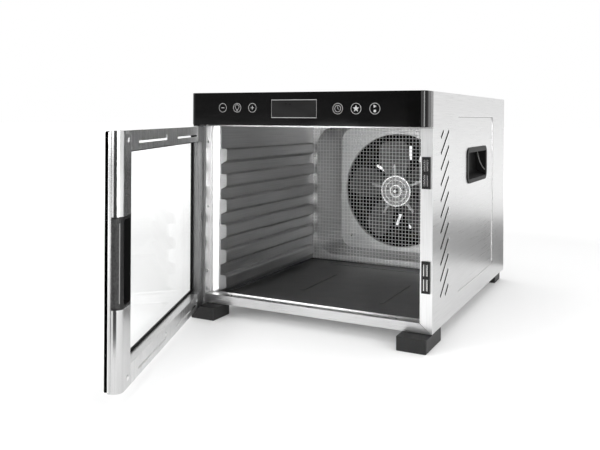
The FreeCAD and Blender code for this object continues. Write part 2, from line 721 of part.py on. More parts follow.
# ---------------------------------------------------------------- fascia and controls
def fascia():
    """Gloss control bar, hollow behind, with the upper hinge boss below its left end."""
    y_front = FRONT - FASCIA_PROUD
    y_back = FRONT - TRIM_DEPTH
    shell = prism([(LEFT, y_back, 0), (LEFT, y_front, FASCIA_CORNER),
                   (RIGHT, y_front, FASCIA_CORNER), (RIGHT, y_back, 0)], "z", FASCIA_LOW, TOP)
    soft = [e for e in shell.Edges
            if e.BoundBox.ZLength < 0.01 and e.BoundBox.YMax < y_back - 0.1]
    shell = shell.makeFillet(0.8, soft)
    wall = FASCIA_WALL
    room = prism([(LEFT + wall, y_back + 1, 0), (LEFT + wall, y_front + wall, FASCIA_CORNER - wall),
                  (RIGHT - wall, y_front + wall, FASCIA_CORNER - wall), (RIGHT - wall, y_back + 1, 0)],
                 "z", FASCIA_LOW + wall, TOP - wall)
    boss = prism(rectangle(LEFT + 0.4, LEFT + HINGE_BOSS_WIDTH, y_front + 2, y_back, 5.0),
                 "z", FASCIA_LOW - HINGE_BOSS_DROP, FASCIA_LOW + wall)
    pin_hole = rod(PIN_RADIUS + 0.3, PIVOT_X, PIVOT_Y, FASCIA_LOW - 10, Z_AXIS, 20)
    window = prism(window_outline(0), "y", y_front - 1, y_front + wall + 1)
    return shell.cut(room).fuse(boss).cut([pin_hole, window]).removeSplitter()


def window_outline(margin):
    """Display opening, shrunk by a margin."""
    z = FASCIA_LOW + WINDOW_RISE
    half_w, half_h = WINDOW_WIDTH / 2 - margin, WINDOW_HEIGHT / 2 - margin
    return rectangle(WINDOW_CENTRE_X - half_w, WINDOW_CENTRE_X + half_w, z - half_h, z + half_h, 1.5)


def display_window():
    """Smoked lens flush in the fascia."""
    return prism(window_outline(0.05), "y", FRONT - FASCIA_PROUD, FRONT - FASCIA_PROUD + FASCIA_WALL)


def display_module():
    """Segment display behind the lens."""
    y = FRONT - FASCIA_PROUD + FASCIA_WALL
    frame = prism(window_outline(-3.0), "y", y, y + 6)
    return frame.cut(prism(window_outline(1.5), "y", y - 1, y + 0.8))


def control_board():
    """Touch and display board across the fascia."""
    y = FRONT - FASCIA_PROUD + FASCIA_WALL + 6
    z = FASCIA_LOW + WINDOW_RISE
    return block(LEFT + 38, RIGHT - 52, y, y + BOARD_SHEET, z - 16, z + 16)


def fascia_trim():
    """Grey band between the fascia and the cabinet, a hollow rectangular ring."""
    wall = FASCIA_WALL
    outer = rectangle(LEFT, RIGHT, FASCIA_LOW, TOP, 0.8)
    inner = rectangle(LEFT + wall, RIGHT - wall, FASCIA_LOW + wall, TOP - wall, 0.4)
    band = ring(outer, inner, "y", FRONT - TRIM_DEPTH, FRONT)
    return band.cut(rod(PIN_RADIUS + 0.3, PIVOT_X, PIVOT_Y, FASCIA_LOW - 1, Z_AXIS, wall + 2))


def board_posts():
    """Four spacers from the cavity ceiling up to the power board."""
    z = HEAD + 2 * LINER
    columns = (POWER_BOARD_X + 8, POWER_BOARD_X + POWER_BOARD_WIDTH - 8)
    rows = (POWER_BOARD_Y + 8, POWER_BOARD_Y + POWER_BOARD_DEPTH - 8)
    return [rod(3.0, x, y, z, Z_AXIS, BOARD_RISE) for x in columns for y in rows]


def power_board():
    """Board that feeds the heater, the fan and the display."""
    x, y = POWER_BOARD_X, POWER_BOARD_Y
    z = HEAD + 2 * LINER + BOARD_RISE
    return block(x, x + POWER_BOARD_WIDTH, y, y + POWER_BOARD_DEPTH, z, z + BOARD_SHEET)


def power_components():
    """Transformer, relay, triac heat sink and capacitors on the power board."""
    x0, y0 = POWER_BOARD_X, POWER_BOARD_Y
    z = HEAD + 2 * LINER + BOARD_RISE + BOARD_SHEET
    transformer = block(x0 + 14, x0 + 46, y0 + 20, y0 + 48, z, z + 22)
    relay = block(x0 + 60, x0 + 79, y0 + 20, y0 + 35, z, z + 15)
    sink = block(x0 + 90, x0 + 94, y0 + 20, y0 + 60, z, z + 20)
    fins = [block(x0 + 94, x0 + 102, y0 + 22 + 8 * i, y0 + 24 + 8 * i, z, z + 20) for i in range(5)]
    cans = [rod(5.0, x0 + 24 + 16 * i, y0 + 74, z, Z_AXIS, 14) for i in range(3)]
    terminals = block(x0 + 20, x0 + 70, y0 + 104, y0 + 114, z, z + 12)
    return [transformer, relay, sink.fuse(fins).removeSplitter(), terminals] + cans


# ---------------------------------------------------------------- cavity
def tray_rail(shelf, start):
    """Hollow pressed rail of the right wall, closed at both ends, open towards the sheet."""
    nose = CAVITY_HALF - RAIL_REACH
    low = shelf - RAIL_NOSE
    outer = [(CAVITY_HALF, shelf, 0), (nose, shelf, RAIL_BEND), (nose, low, RAIL_BEND),
             (CAVITY_HALF, low - RAIL_RAMP, 0)]
    rise = LINER * (math.hypot(RAIL_REACH, RAIL_RAMP) - RAIL_RAMP) / RAIL_REACH
    bend = RAIL_BEND - LINER
    foot = low + rise - RAIL_RAMP * (1 - LINER / RAIL_REACH)
    inner = [(CAVITY_HALF + 1, shelf - LINER, 0), (nose + LINER, shelf - LINER, bend),
             (nose + LINER, low + rise, bend), (CAVITY_HALF, foot, 0), (CAVITY_HALF + 1, foot, 0)]
    body = prism(outer, "y", FRONT + start, FRONT + RAIL_END)
    return body.cut(prism(inner, "y", FRONT + start + LINER, FRONT + RAIL_END - LINER))


def rail_wall(start):
    """Right cavity wall: flat sheet with a front flange, and the rails welded to it."""
    y0 = FRONT + RAIL_FRONT
    sheet = block(CAVITY_HALF, CAVITY_HALF + LINER, y0, FRONT + CAVITY_DEPTH, BASE + SHELL, HEAD)
    edge = CAVITY_HALF + RAIL_EDGE
    lip = RIGHT - FACE_LEFT - SIDE_LIP
    flange = block(CAVITY_HALF, edge, y0, y0 + LINER, BASE + SHELL, HEAD)
    step = FRONT + RETURN_DEPTH
    fold = prism([(edge, y0, 0), (lip, step, 0), (lip + LINER, step, 0), (edge + LINER, y0 + LINER, 0),
                  (edge, y0 + LINER, 0)], "z", SILL_TOP + SILL_LIP, HEAD)
    shelves = [BASE + LOWEST_RAIL + i * RAIL_PITCH for i in range(RAIL_COUNT)]
    return [sheet.fuse([flange, fold]).removeSplitter()] + [tray_rail(z, start) for z in shelves]


def cavity_ceiling():
    """Flat roof of the cavity, resting on the two walls."""
    return block(-CAVITY_HALF - 6, CAVITY_HALF + 6, FRONT + SILL_DEPTH, PLATE_Y, HEAD, HEAD + LINER)


def cavity_floor():
    """Raised floor sheet with a fold down to the base plate at each end."""
    half = CAVITY_HALF - 0.2
    y0, y1 = FRONT + SILL_DEPTH + 0.3, GUARD_Y - 2.0
    sheet = block(-half, half, y0, y1, TRAY_Z - LINER, TRAY_Z)
    front_fold = block(-half, half, y0, y0 + LINER, BASE + SHELL, TRAY_Z - LINER)
    rear_fold = block(-half, half, y1 - LINER, y1, BASE + SHELL, TRAY_Z - LINER)
    return sheet.fuse([front_fold, rear_fold]).removeSplitter()


def drip_tray():
    """Loose drip sheet on the floor, with a low rim and pressed stiffening beads."""
    half = CAVITY_HALF - TRAY_MARGIN
    y0, y1 = FRONT + RAIL_FRONT + 1.5, FRONT + CAVITY_DEPTH - 8
    top = TRAY_Z + TRAY_SHEET
    sheet = prism(rectangle(-half, half, y0, y1, 6.0), "z", TRAY_Z, top)
    rim = ring(rectangle(-half, half, y0, y1, 6.0),
               rectangle(-half + 1, half - 1, y0 + 1, y1 - 1, 5.0), "z", top, top + TRAY_RIM)
    beads = []
    for x, d0, d1 in ((-57.0, 95.0, 215.0), (73.0, 80.0, 200.0)):
        beads.append(slot(x, FRONT + d0, x, FRONT + d1, 7.0, "z", top, top + 0.7))
    beads.append(slot(-100, y1 - 22, 100, y1 - 22, 7.0, "z", top, top + 0.7))
    return sheet.fuse([rim] + beads).removeSplitter()


# ---------------------------------------------------------------- guard and shroud
def guard_frame():
    """Flat steel rim that the guard wires are welded to."""
    half = CAVITY_HALF - 0.4
    low, high = TRAY_Z + 1, HEAD - 0.5
    return ring(rectangle(-half, half, low, high, 1.0),
                rectangle(-half + GUARD_RIM, half - GUARD_RIM, low + GUARD_RIM, high - GUARD_RIM, 0.6),
                "y", GUARD_Y, GUARD_Y + LINER)


def guard_wires():
    """Square mesh: upright wires on the rim, level wires welded in front of them."""
    half = CAVITY_HALF - 0.6
    low, high = TRAY_Z + 1.2, HEAD - 0.7
    radius = WIRE_RADIUS
    columns = int((2 * half - 2) / WIRE_PITCH)
    rows = int((high - low - 2) / WIRE_PITCH)
    wires = []
    for i in range(columns + 1):
        x = (i - columns / 2) * WIRE_PITCH
        wires.append(rod(radius, x, GUARD_Y - radius, low, Z_AXIS, high - low))
    middle = (low + high) / 2
    for i in range(rows + 1):
        z = middle + (i - rows / 2) * WIRE_PITCH
        wires.append(rod(radius, -half, GUARD_Y - 3 * radius, z, X_AXIS, 2 * half))
    return wires


def pan_loft(inset, y0, y1):
    """Tapered pan body between its mouth and its plate, shrunk by an inset."""
    low, high = BASE + 19, HEAD - 4
    mouth_half = CAVITY_HALF - PAN_MARGIN - inset
    plate_half = CAVITY_HALF - PAN_MARGIN - PAN_TAPER - inset
    mouth = rectangle(-mouth_half, mouth_half, low + inset, high - inset, PAN_CORNER)
    plate = rectangle(-plate_half, plate_half, low + PAN_TAPER_HEIGHT + inset,
                      high - PAN_TAPER_HEIGHT + 5 - inset, PLATE_CORNER)
    wires = [outline(mouth, lambda p: FreeCAD.Vector(p.x, y0, p.y)),
             outline(plate, lambda p: FreeCAD.Vector(p.x, y1, p.y))]
    return Part.makeLoft(wires, True, True)


def fan_shroud():
    """Pressed pan: flange behind the guard, sloping walls, plate with the fan hole."""
    half = CAVITY_HALF - 0.4
    flange = prism(rectangle(-half, half, TRAY_Z + 1, HEAD - 0.5, 1.0), "y", PAN_Y, PAN_Y + LINER)
    pan = flange.fuse(pan_loft(-LINER, PAN_Y, PLATE_Y + LINER))
    pan = pan.cut(pan_loft(0, PAN_Y, PLATE_Y))
    collar = tube(FAN_HOLE_RADIUS + LINER, FAN_HOLE_RADIUS, 0, PLATE_Y, FAN_Z, Y_AXIS, FAN_COLLAR)
    pan = pan.fuse(collar)
    pan = pan.cut(rod(FAN_HOLE_RADIUS, 0, PLATE_Y - 1, FAN_Z, Y_AXIS, 20))
    probe_hole = rod(PROBE_RADIUS, -CORNER_SPOT, PLATE_Y - 1, FAN_Z - CORNER_SPOT, Y_AXIS, 5)
    return pan.cut(probe_hole).removeSplitter()




def thermal_cutout():
    """Bimetal safety switch on the back of the shroud plate."""
    x, z = CORNER_SPOT, FAN_Z + CORNER_SPOT
    y = PLATE_Y + LINER
    cap = rod(8.0, x, y, z, Y_AXIS, 3).fuse(rod(6.5, x, y + 3, z, Y_AXIS, 6))
    tabs = [block(x + s * 3.5 - 0.4, x + s * 3.5 + 0.4, y + 9, y + 15, z - 3, z + 3) for s in (-1, 1)]
    return cap.fuse(tabs)


def temperature_probe():
    """Air sensor through the shroud plate, with its hexagonal collar behind."""
    x, z = -CORNER_SPOT, FAN_Z - CORNER_SPOT
    stem = rod(PROBE_RADIUS, x, PLATE_Y - 14, z, Y_AXIS, 30)
    tip = Part.makeSphere(PROBE_RADIUS, FreeCAD.Vector(x, PLATE_Y - 14, z))
    collar = hexagon(5.0, x, z, PLATE_Y + LINER, PLATE_Y + LINER + 4)
    return stem.fuse([tip, collar])


def hexagon(radius, x, z, y0, y1):
    """Hexagonal prism about a fore-and-aft axis."""
    corners = [(x + radius * math.cos(math.radians(60 * i)), z + radius * math.sin(math.radians(60 * i)), 0)
               for i in range(6)]
    return prism(corners, "y", y0, y1)


# ---------------------------------------------------------------- fan, heater, motor


def fan_blades():
    """One-piece impeller: centre disc and five pitched paddles."""
    disc = rod(22.0, 0, BLADE_Y, FAN_Z, Y_AXIS, BLADE_SHEET)
    root, half_root, half_tip = 14.0, BLADE_ROOT_WIDTH / 2, BLADE_WIDTH / 2
    shoulder = BLADE_TIP - 40.0
    end = BLADE_TIP - 4.5
    paddle = prism([(-half_root, FAN_Z + root, 0), (half_root, FAN_Z + root, 0),
                    (half_tip, FAN_Z + shoulder, 14.0), (half_tip - 2, FAN_Z + end, 16.0),
                    (-half_tip + 2, FAN_Z + end, 16.0), (-half_tip, FAN_Z + shoulder, 14.0)],
                   "y", BLADE_Y, BLADE_Y + BLADE_SHEET)
    paddle.rotate(FreeCAD.Vector(0, BLADE_Y + BLADE_SHEET / 2, 0), Z_AXIS, BLADE_PITCH)
    first, step = 90 - BLADE_PHASE, 360.0 / BLADE_COUNT
    blades = [turned(paddle, 0, FAN_Z, first - step * i) for i in range(BLADE_COUNT)]
    bore = rod(SHAFT_RADIUS, 0, BLADE_Y - 30, FAN_Z, Y_AXIS, 60)
    return disc.fuse(blades).cut([bore, fan_hub()]).removeSplitter()


def fan_hub():
    """Cast five-armed clamp in front of the blades, on the shaft."""
    corners = []
    for i in range(BLADE_COUNT):
        angle = math.radians(BLADE_PHASE + 36 + 72 * i)
        corners.append((HUB_RADIUS * math.cos(angle), FAN_Z + HUB_RADIUS * math.sin(angle), 5.0))
    plate = prism(corners, "y", HUB_Y, BLADE_Y)
    boss = rod(8.0, 0, HUB_Y - 4, FAN_Z, Y_AXIS, 4)
    rib = block(-2.0, 2.0, HUB_Y - 1.5, BLADE_Y - 0.6, FAN_Z + 6, FAN_Z + HUB_RIB_REACH)
    ribs = [turned(rib, 0, FAN_Z, 90 - BLADE_PHASE - 72 * i) for i in range(BLADE_COUNT)]
    holes = [rod(SHAFT_RADIUS, 0, HUB_Y - 10, FAN_Z, Y_AXIS, 30)]
    for i in range(BLADE_COUNT):
        angle = math.radians(BLADE_PHASE + 36 + 72 * i)
        x, z = 14 * math.cos(angle), FAN_Z + 14 * math.sin(angle)
        holes.append(rod(1.6, x, HUB_Y - 5, z, Y_AXIS, 5 + HUB_SHEET))
    return plate.fuse([boss] + ribs).cut(holes).removeSplitter()


def fan_nut():
    """Hexagonal nut that clamps the hub."""
    y = HUB_Y - 4
    return hexagon(5.4, 0, FAN_Z, y - 4, y).cut(rod(SHAFT_RADIUS, 0, y - 5, FAN_Z, Y_AXIS, 6))


def fan_shaft():
    """Shaft from the nut back through both motor bearings."""
    start = HUB_Y - 10
    end = STATOR_Y + STATOR_STACK + 7
    return rod(SHAFT_RADIUS, 0, start, FAN_Z, Y_AXIS, end - start)


def motor_rotor():
    """Squirrel-cage rotor pressed on the shaft."""
    return tube(ROTOR_RADIUS, SHAFT_RADIUS, 0, STATOR_Y - 1, FAN_Z, Y_AXIS, STATOR_STACK + 2)


def motor_stator():
    """Laminated frame with the rotor bore and the coil window below it."""
    half = STATOR_HALF
    stack = block(-half, half, STATOR_Y, STATOR_Y + STATOR_STACK, FAN_Z - half - 14, FAN_Z + half)
    window = block(-14, 14, STATOR_Y - 1, STATOR_Y + STATOR_STACK + 1, FAN_Z - half - 6, FAN_Z - half + 5)
    bore = rod(ROTOR_RADIUS + ROTOR_GAP, 0, STATOR_Y - 1, FAN_Z, Y_AXIS, STATOR_STACK + 2)
    return stack.cut([window, bore])


def motor_coil():
    """Winding on the lower leg of the stator."""
    half = STATOR_HALF
    low, high = FAN_Z - half - 20, FAN_Z - half + 4
    y0, y1 = STATOR_Y - 4, STATOR_Y + STATOR_STACK + 4
    winding = prism(rectangle(y0, y1, low, high, 3.0), "x", -13, 13)
    low = FAN_Z - half - 14
    return winding.cut(block(-15, 15, STATOR_Y, STATOR_Y + STATOR_STACK, low, low + 8))


def motor_end_plates():
    """Bearing bridges in front of and behind the stator."""
    solids = []
    for y in (STATOR_Y - 3.5, STATOR_Y + STATOR_STACK + 3.5 - MOTOR_PLATE):
        bridge = prism(rectangle(-22, 22, FAN_Z - 9, FAN_Z + 9, 8.0), "y", y, y + MOTOR_PLATE)
        solids.append(bridge.cut(rod(SHAFT_RADIUS + SHAFT_CLEARANCE, 0, y - 5, FAN_Z, Y_AXIS, 12)))
    return solids


def motor_bracket():
    """Round mounting disc on four posts that stand on the rear panel."""
    disc = rod(MOTOR_DISC_RADIUS, 0, MOTOR_DISC_Y, FAN_Z, Y_AXIS, MOTOR_PLATE)
    length = BACK - SHELL - MOTOR_DISC_Y
    posts = [rod(3.5, x, MOTOR_DISC_Y, z, Y_AXIS, length) for x, z in motor_post_points()]
    disc = disc.fuse(posts)
    holes = [rod(7.0, 0, MOTOR_DISC_Y - 1, FAN_Z, Y_AXIS, 4)]
    for x, z in motor_post_points():
        holes.append(rod(PANEL_SCREW, x, BACK - SHELL - 8, z, Y_AXIS, 10))
    return disc.cut(holes).removeSplitter()


def heater_element():
    """Tubular ring heater behind the blades with two tails to the back."""
    centre = FreeCAD.Vector(0, HEATER_Y, FAN_Z)
    coil = Part.makeTorus(HEATER_RADIUS, HEATER_TUBE, centre, Y_AXIS)
    reach = HEATER_RADIUS + 2 * HEATER_TUBE
    gap = block(-HEATER_GAP, HEATER_GAP, HEATER_Y - 2 * HEATER_TUBE, HEATER_Y + 2 * HEATER_TUBE,
                FAN_Z - reach, FAN_Z)
    tails = []
    for side in (-1, 1):
        z = FAN_Z - math.sqrt(HEATER_RADIUS**2 - HEATER_GAP**2)
        foot = rod(HEATER_TUBE * 1.2, side * HEATER_GAP, HEATER_Y - HEATER_TUBE, z, Y_AXIS, 24 + HEATER_TUBE)
        tails.append(foot)
    return coil.cut(gap).fuse(tails)


# ---------------------------------------------------------------- door hinge on the cabinet


def hinge_bracket_lower():
    """Steel tongue under the base that carries the lower pin."""
    tongue = prism(rectangle(LEFT + 0.5, LEFT + BRACKET_WIDTH, PIVOT_Y - 5, FRONT + BRACKET_TONGUE, 2.0),
                   "z", BASE - BRACKET_SHEET, BASE)
    return tongue.cut(rod(PIN_RADIUS, PIVOT_X, PIVOT_Y, BASE - 5, Z_AXIS, 10))


def hinge_bracket_upper():
    """Steel angle inside the fascia that carries the upper pin."""
    low = FASCIA_LOW + FASCIA_WALL + 0.2
    x0, x1 = LEFT + FASCIA_WALL + 0.1, LEFT + HINGE_BOSS_WIDTH
    tongue = block(x0, x1, PIVOT_Y - 5, FRONT, low, low + BRACKET_SHEET)
    upright = block(x0, x1, FRONT - BRACKET_SHEET, FRONT, low, low + 22)
    return tongue.fuse(upright).cut(rod(PIN_RADIUS, PIVOT_X, PIVOT_Y, low - 5, Z_AXIS, 12)).removeSplitter()


def hinge_pins():
    """Lower and upper door pins, fixed in their brackets."""
    lower = rod(PIN_RADIUS, PIVOT_X, PIVOT_Y, BASE - BRACKET_SHEET, Z_AXIS,
                DOOR_LOW + BUSH_LENGTH - 1 - BASE + BRACKET_SHEET)
    start = DOOR_HIGH - BUSH_LENGTH + 1
    end = FASCIA_LOW + FASCIA_WALL + 0.2 + BRACKET_SHEET
    upper = rod(PIN_RADIUS, PIVOT_X, PIVOT_Y, start, Z_AXIS, end - start)
    return [lower, upper]


# ---------------------------------------------------------------- door, modelled closed
def inward(depth):
    """Y of a plane at a depth from the closed door's inner face towards the user."""
    return FRONT - DOOR_GAP - depth


def opened(shape):
    """The door's pieces are turned about the hinge axis to the stored pose."""
    copy = shape.copy()
    copy.rotate(FreeCAD.Vector(PIVOT_X, PIVOT_Y, 0), Z_AXIS, -DOOR_OPEN)
    return copy


def window_block(margin, depth0, depth1, right=0.0):
    """Block through the door's window, grown by a margin on three sides."""
    return block(LEFT + DOOR_RAIL - margin, COLUMN_LEFT + right, inward(depth1), inward(depth0),
                 DOOR_LOW + DOOR_RAIL - margin, DOOR_HIGH - DOOR_RAIL + margin)


def rail_slot_spans():
    """X range of the two slots along a door rail."""
    start, end = LEFT + RAIL_SLOT_INSET, COLUMN_LEFT - RAIL_SLOT_INSET / 2
    length = (end - start - RAIL_SLOT_GAP) / 2
    return [(start, start + length), (end - length, end)]


def rail_slot_cuts():
    """Long slots in the upper and lower rails, the upper ones with a turned-up end."""
    y0, y1 = inward(3), inward(-1)
    upper, lower = DOOR_HIGH - 12.0, DOOR_LOW + 7.6
    half = RAIL_SLOT / 2
    cuts = []
    for x0, x1 in rail_slot_spans():
        cuts.append(block(x0, x1, y0, y1, upper - half, upper + half))
        cuts.append(block(x0, x0 + RAIL_SLOT, y0, y1, upper - half, upper + 5.0))
        cuts.append(block(x0, x1, y0, y1, lower - half, lower + half))
    return cuts


def lower_rivet_points():
    """Rivets above the lower rail's slots: x, z."""
    (first, _), (second, _) = rail_slot_spans()
    return [(first - 2.5, DOOR_LOW + 12.0), (second + 0.5, DOOR_LOW + 12.0)]


def column_screw_points():
    """Dome screws near both ends of the column: x, z."""
    x = COLUMN_LEFT + COLUMN_SCREW_X
    return [(x, DOOR_LOW + COLUMN_SCREW_IN), (x, DOOR_HIGH - COLUMN_SCREW_IN)]


def fixing_holes():
    """Shank holes for the rivets and screws in the door's inner face."""
    points = lower_rivet_points() + column_screw_points()
    return [rod(RIVET_SHANK, x, inward(4), z, Y_AXIS, 8) for x, z in points]


def bush_cuts():
    """Seats for the hinge bushes."""
    return [rod(BUSH_RADIUS, PIVOT_X, PIVOT_Y, DOOR_LOW - 1, Z_AXIS, BUSH_LENGTH + 1),
            rod(BUSH_RADIUS, PIVOT_X, PIVOT_Y, DOOR_HIGH - BUSH_LENGTH, Z_AXIS, BUSH_LENGTH + 1)]


def door_inner_frame():
    """Folded steel channel round the window on three sides, open to the outside."""
    depth = DOOR_CHANNEL
    sheet = LINER
    body = prism([(LEFT, inward(depth), 0), (COLUMN_LEFT, inward(depth), 0),
                  (COLUMN_LEFT, inward(0), 0), (LEFT, inward(0), HINGE_EDGE)],
                 "z", DOOR_LOW, DOOR_HIGH)
    body = body.cut(window_block(0, -1, depth + 1, 1.0))
    room = prism([(LEFT + sheet, inward(depth + 1), 0), (COLUMN_LEFT + 1, inward(depth + 1), 0),
                  (COLUMN_LEFT + 1, inward(sheet), 0), (LEFT + sheet, inward(sheet), HINGE_EDGE - sheet)],
                 "z", DOOR_LOW + sheet, DOOR_HIGH - sheet)
    room = room.cut(window_block(sheet, -1, depth + 2, 2.0))
    return body.cut(room).cut(rail_slot_cuts() + fixing_holes() + bush_cuts()).removeSplitter()


def column_section(inset, depth):
    """Cross-section of the free-edge column: flat inner face, rounded free corner."""
    return [(COLUMN_LEFT + inset, inward(depth), 0), (RIGHT - inset, inward(depth), 0),
            (RIGHT - inset, inward(inset), COLUMN_ROUND - inset), (COLUMN_LEFT + inset, inward(inset), 0.6)]


def door_column():
    """Steel column of the free edge, hollow, with a groove and the grip cut-out."""
    wall = COLUMN_WALL
    solid = prism(column_section(0, DOOR_CHANNEL), "z", DOOR_LOW, DOOR_HIGH)
    grip_low, grip_high = BASE + GRIP_LOW, BASE + GRIP_HIGH
    room = column_section(wall, DOOR_CHANNEL - wall)
    bore = prism(room, "z", DOOR_LOW + wall, grip_low - wall)
    upper_bore = prism(room, "z", grip_high + wall, DOOR_HIGH - wall)
    groove = block(RIGHT - 0.8, RIGHT + 1, inward(GRIP_DEPTH + 0.7), inward(GRIP_DEPTH),
                   DOOR_LOW - 1, DOOR_HIGH + 1)
    grip = block(COLUMN_LEFT - 1, RIGHT + 1, inward(GRIP_DEPTH), inward(-1), grip_low, grip_high)
    return solid.cut([bore, upper_bore, groove, grip] + fixing_holes()).removeSplitter()


def grip_body():
    """Full section of the grip insert between its two ends."""
    return prism(column_section(0, GRIP_DEPTH), "z", BASE + GRIP_LOW, BASE + GRIP_HIGH)


def grip_skin():
    """Textured cover wrapped over the outer half of the grip."""
    core = prism(column_section(GRIP_SKIN, GRIP_DEPTH + 1), "z", BASE + GRIP_LOW - 1, BASE + GRIP_HIGH + 1)
    divide = COLUMN_LEFT + GRIP_POCKET_WIDTH + 2.5
    half = block(divide, RIGHT + 1, inward(GRIP_DEPTH + 1), inward(-1),
                 BASE + GRIP_LOW + 2, BASE + GRIP_HIGH - 2)
    return grip_body().cut(core).common(half)


def door_grip_pocket():
    """Grip insert with the finger pocket beside the window."""
    pocket = prism(rectangle(COLUMN_LEFT + 1.5, COLUMN_LEFT + 1.5 + GRIP_POCKET_WIDTH,
                             BASE + GRIP_LOW + 3, BASE + GRIP_HIGH - 3, 3.0),
                   "y", inward(GRIP_DEPTH - 1.5), inward(-1))
    return grip_body().cut([grip_skin(), pocket]).removeSplitter()


def door_subframe():
    """Black frame between the steel and the pane, wide at the hinge edge and the column."""
    outer = rectangle(LEFT, RIGHT, DOOR_LOW, DOOR_HIGH, 2.0)
    inner = rectangle(LEFT + DOOR_RAIL + DOOR_BORDER_HINGE, COLUMN_LEFT - 0.5,
                      DOOR_LOW + DOOR_BORDER_RIM, DOOR_HIGH - DOOR_BORDER_RIM, 1.5)
    return ring(outer, inner, "y", inward(PANE_DEPTH), inward(DOOR_CHANNEL))


def door_gasket():
    """Rubber seal between the steel reveal and the pane."""
    outer = rectangle(LEFT + DOOR_RAIL, COLUMN_LEFT, DOOR_LOW + DOOR_RAIL, DOOR_HIGH - DOOR_RAIL, 0.5)
    inner = rectangle(LEFT + DOOR_RAIL + GASKET_LEDGE, COLUMN_LEFT - 0.5,
                      DOOR_LOW + DOOR_RAIL + GASKET_LEDGE, DOOR_HIGH - DOOR_RAIL - GASKET_LEDGE, 1.5)
    seal = ring(outer, inner, "y", inward(PANE_DEPTH), inward(DOOR_CHANNEL - GASKET_LIP))
    return seal.cut(door_subframe())


def door_glass():
    """Clear outer pane over the whole door."""
    edge = 0.5
    outline_corners = rectangle(LEFT + edge, RIGHT - edge, DOOR_LOW + edge, DOOR_HIGH - edge, 3.0)
    return prism(outline_corners, "y", inward(PANE_DEPTH + DOOR_PANE), inward(PANE_DEPTH))


def door_rivets():
    """Rivets and dome screws on the door's inner face."""
    rivets = [rivet(x, inward(0), z, Y_AXIS) for x, z in lower_rivet_points()]
    screws = [rivet(x, inward(0), z, Y_AXIS, SCREW_HEAD, SCREW_DOME) for x, z in column_screw_points()]
    return rivets + screws


def door_hinge_bushes():
    """Flanged bushes at the bottom and top of the hinge edge."""
    bore = PIN_RADIUS + PIN_CLEARANCE
    bushes = []
    for start, flange in ((DOOR_LOW, DOOR_LOW - 0.5), (DOOR_HIGH - BUSH_LENGTH, DOOR_HIGH)):
        sleeve = rod(BUSH_RADIUS, PIVOT_X, PIVOT_Y, start, Z_AXIS, BUSH_LENGTH)
        collar = rod(BUSH_RADIUS + 0.9, PIVOT_X, PIVOT_Y, flange, Z_AXIS, 0.5)
        hole = rod(bore, PIVOT_X, PIVOT_Y, start - 2, Z_AXIS, BUSH_LENGTH + 4)
        bushes.append(sleeve.fuse(collar).cut(hole).removeSplitter())
    return bushes


# ---------------------------------------------------------------- write the nodes
def main():
    os.makedirs("parts", exist_ok=True)
    right_side = side_panel()
    right_cup = handle_cup()
    cabinet = {
        "side_panel_right": [right_side],
        "side_panel_left": [mirrored(right_side)],
        "top_panel": [top_panel()],
        "base_plate": [base_plate()],
        "rear_panel": [rear_panel()],
        "panel_screws": [panel_screw(x, z) for x, z in rear_screw_points()],
        "mains_inlet": [mains_inlet()],
        "inlet_pins": inlet_pins(),
        "handle_cup_right": [right_cup],
        "handle_cup_left": [mirrored(right_cup)],
        "feet": feet(),
        "foot_screws": foot_screws(),
        "frame_left": [frame_left()],
        "frame_right": [frame_right()],
        "frame_bottom": [frame_bottom()],
        "frame_top": [frame_top()],
        "frame_rivets": frame_rivets(),
        "catch_housings": catch_housings(),
        "catch_pole_plates": catch_pole_plates(),
        "catch_magnets": catch_magnets(),
        "fascia": [fascia()],
        "fascia_trim": [fascia_trim()],
        "display_window": [display_window()],
        "display_module": [display_module()],
        "control_board": [control_board()],
        "board_posts": board_posts(),
        "power_board": [power_board()],
        "power_components": power_components(),
        "rail_wall_right": rail_wall(RAIL_START_RIGHT),
        "rail_wall_left": [mirrored(solid) for solid in rail_wall(RAIL_START_LEFT)],
        "cavity_ceiling": [cavity_ceiling()],
        "cavity_floor": [cavity_floor()],
        "drip_tray": [drip_tray()],
        "guard_frame": [guard_frame()],
        "guard_wires": guard_wires(),
        "fan_shroud": [fan_shroud()],
        "thermal_cutout": [thermal_cutout()],
        "temperature_probe": [temperature_probe()],
        "heater_element": [heater_element()],
        "motor_bracket": [motor_bracket()],
        "motor_stator": [motor_stator()],
        "motor_coil": [motor_coil()],
        "motor_end_plates": motor_end_plates(),
        "hinge_bracket_lower": [hinge_bracket_lower()],
        "hinge_bracket_upper": [hinge_bracket_upper()],
        "hinge_pins": hinge_pins(),
    }
    impeller = {
        "fan_blades": [fan_blades()],
        "fan_hub": [fan_hub()],
        "fan_nut": [fan_nut()],
        "fan_shaft": [fan_shaft()],
        "motor_rotor": [motor_rotor()],
    }
    door = {
        "door_inner_frame": [door_inner_frame()],
        "door_column": [door_column()],
        "door_grip": [grip_skin()],
        "door_grip_pocket": [door_grip_pocket()],
        "door_subframe": [door_subframe()],
        "door_gasket": [door_gasket()],
        "door_glass": [door_glass()],
        "door_rivets": door_rivets(),
        "door_hinge_bushes": door_hinge_bushes(),
    }
    for node, shapes in {**cabinet, **impeller}.items():
        save(node, shapes)
    for node, shapes in door.items():
        save(node, [opened(shape) for shape in shapes])


main()
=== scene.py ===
import json
import math

import bmesh
import bpy
from mathutils import Matrix, Vector


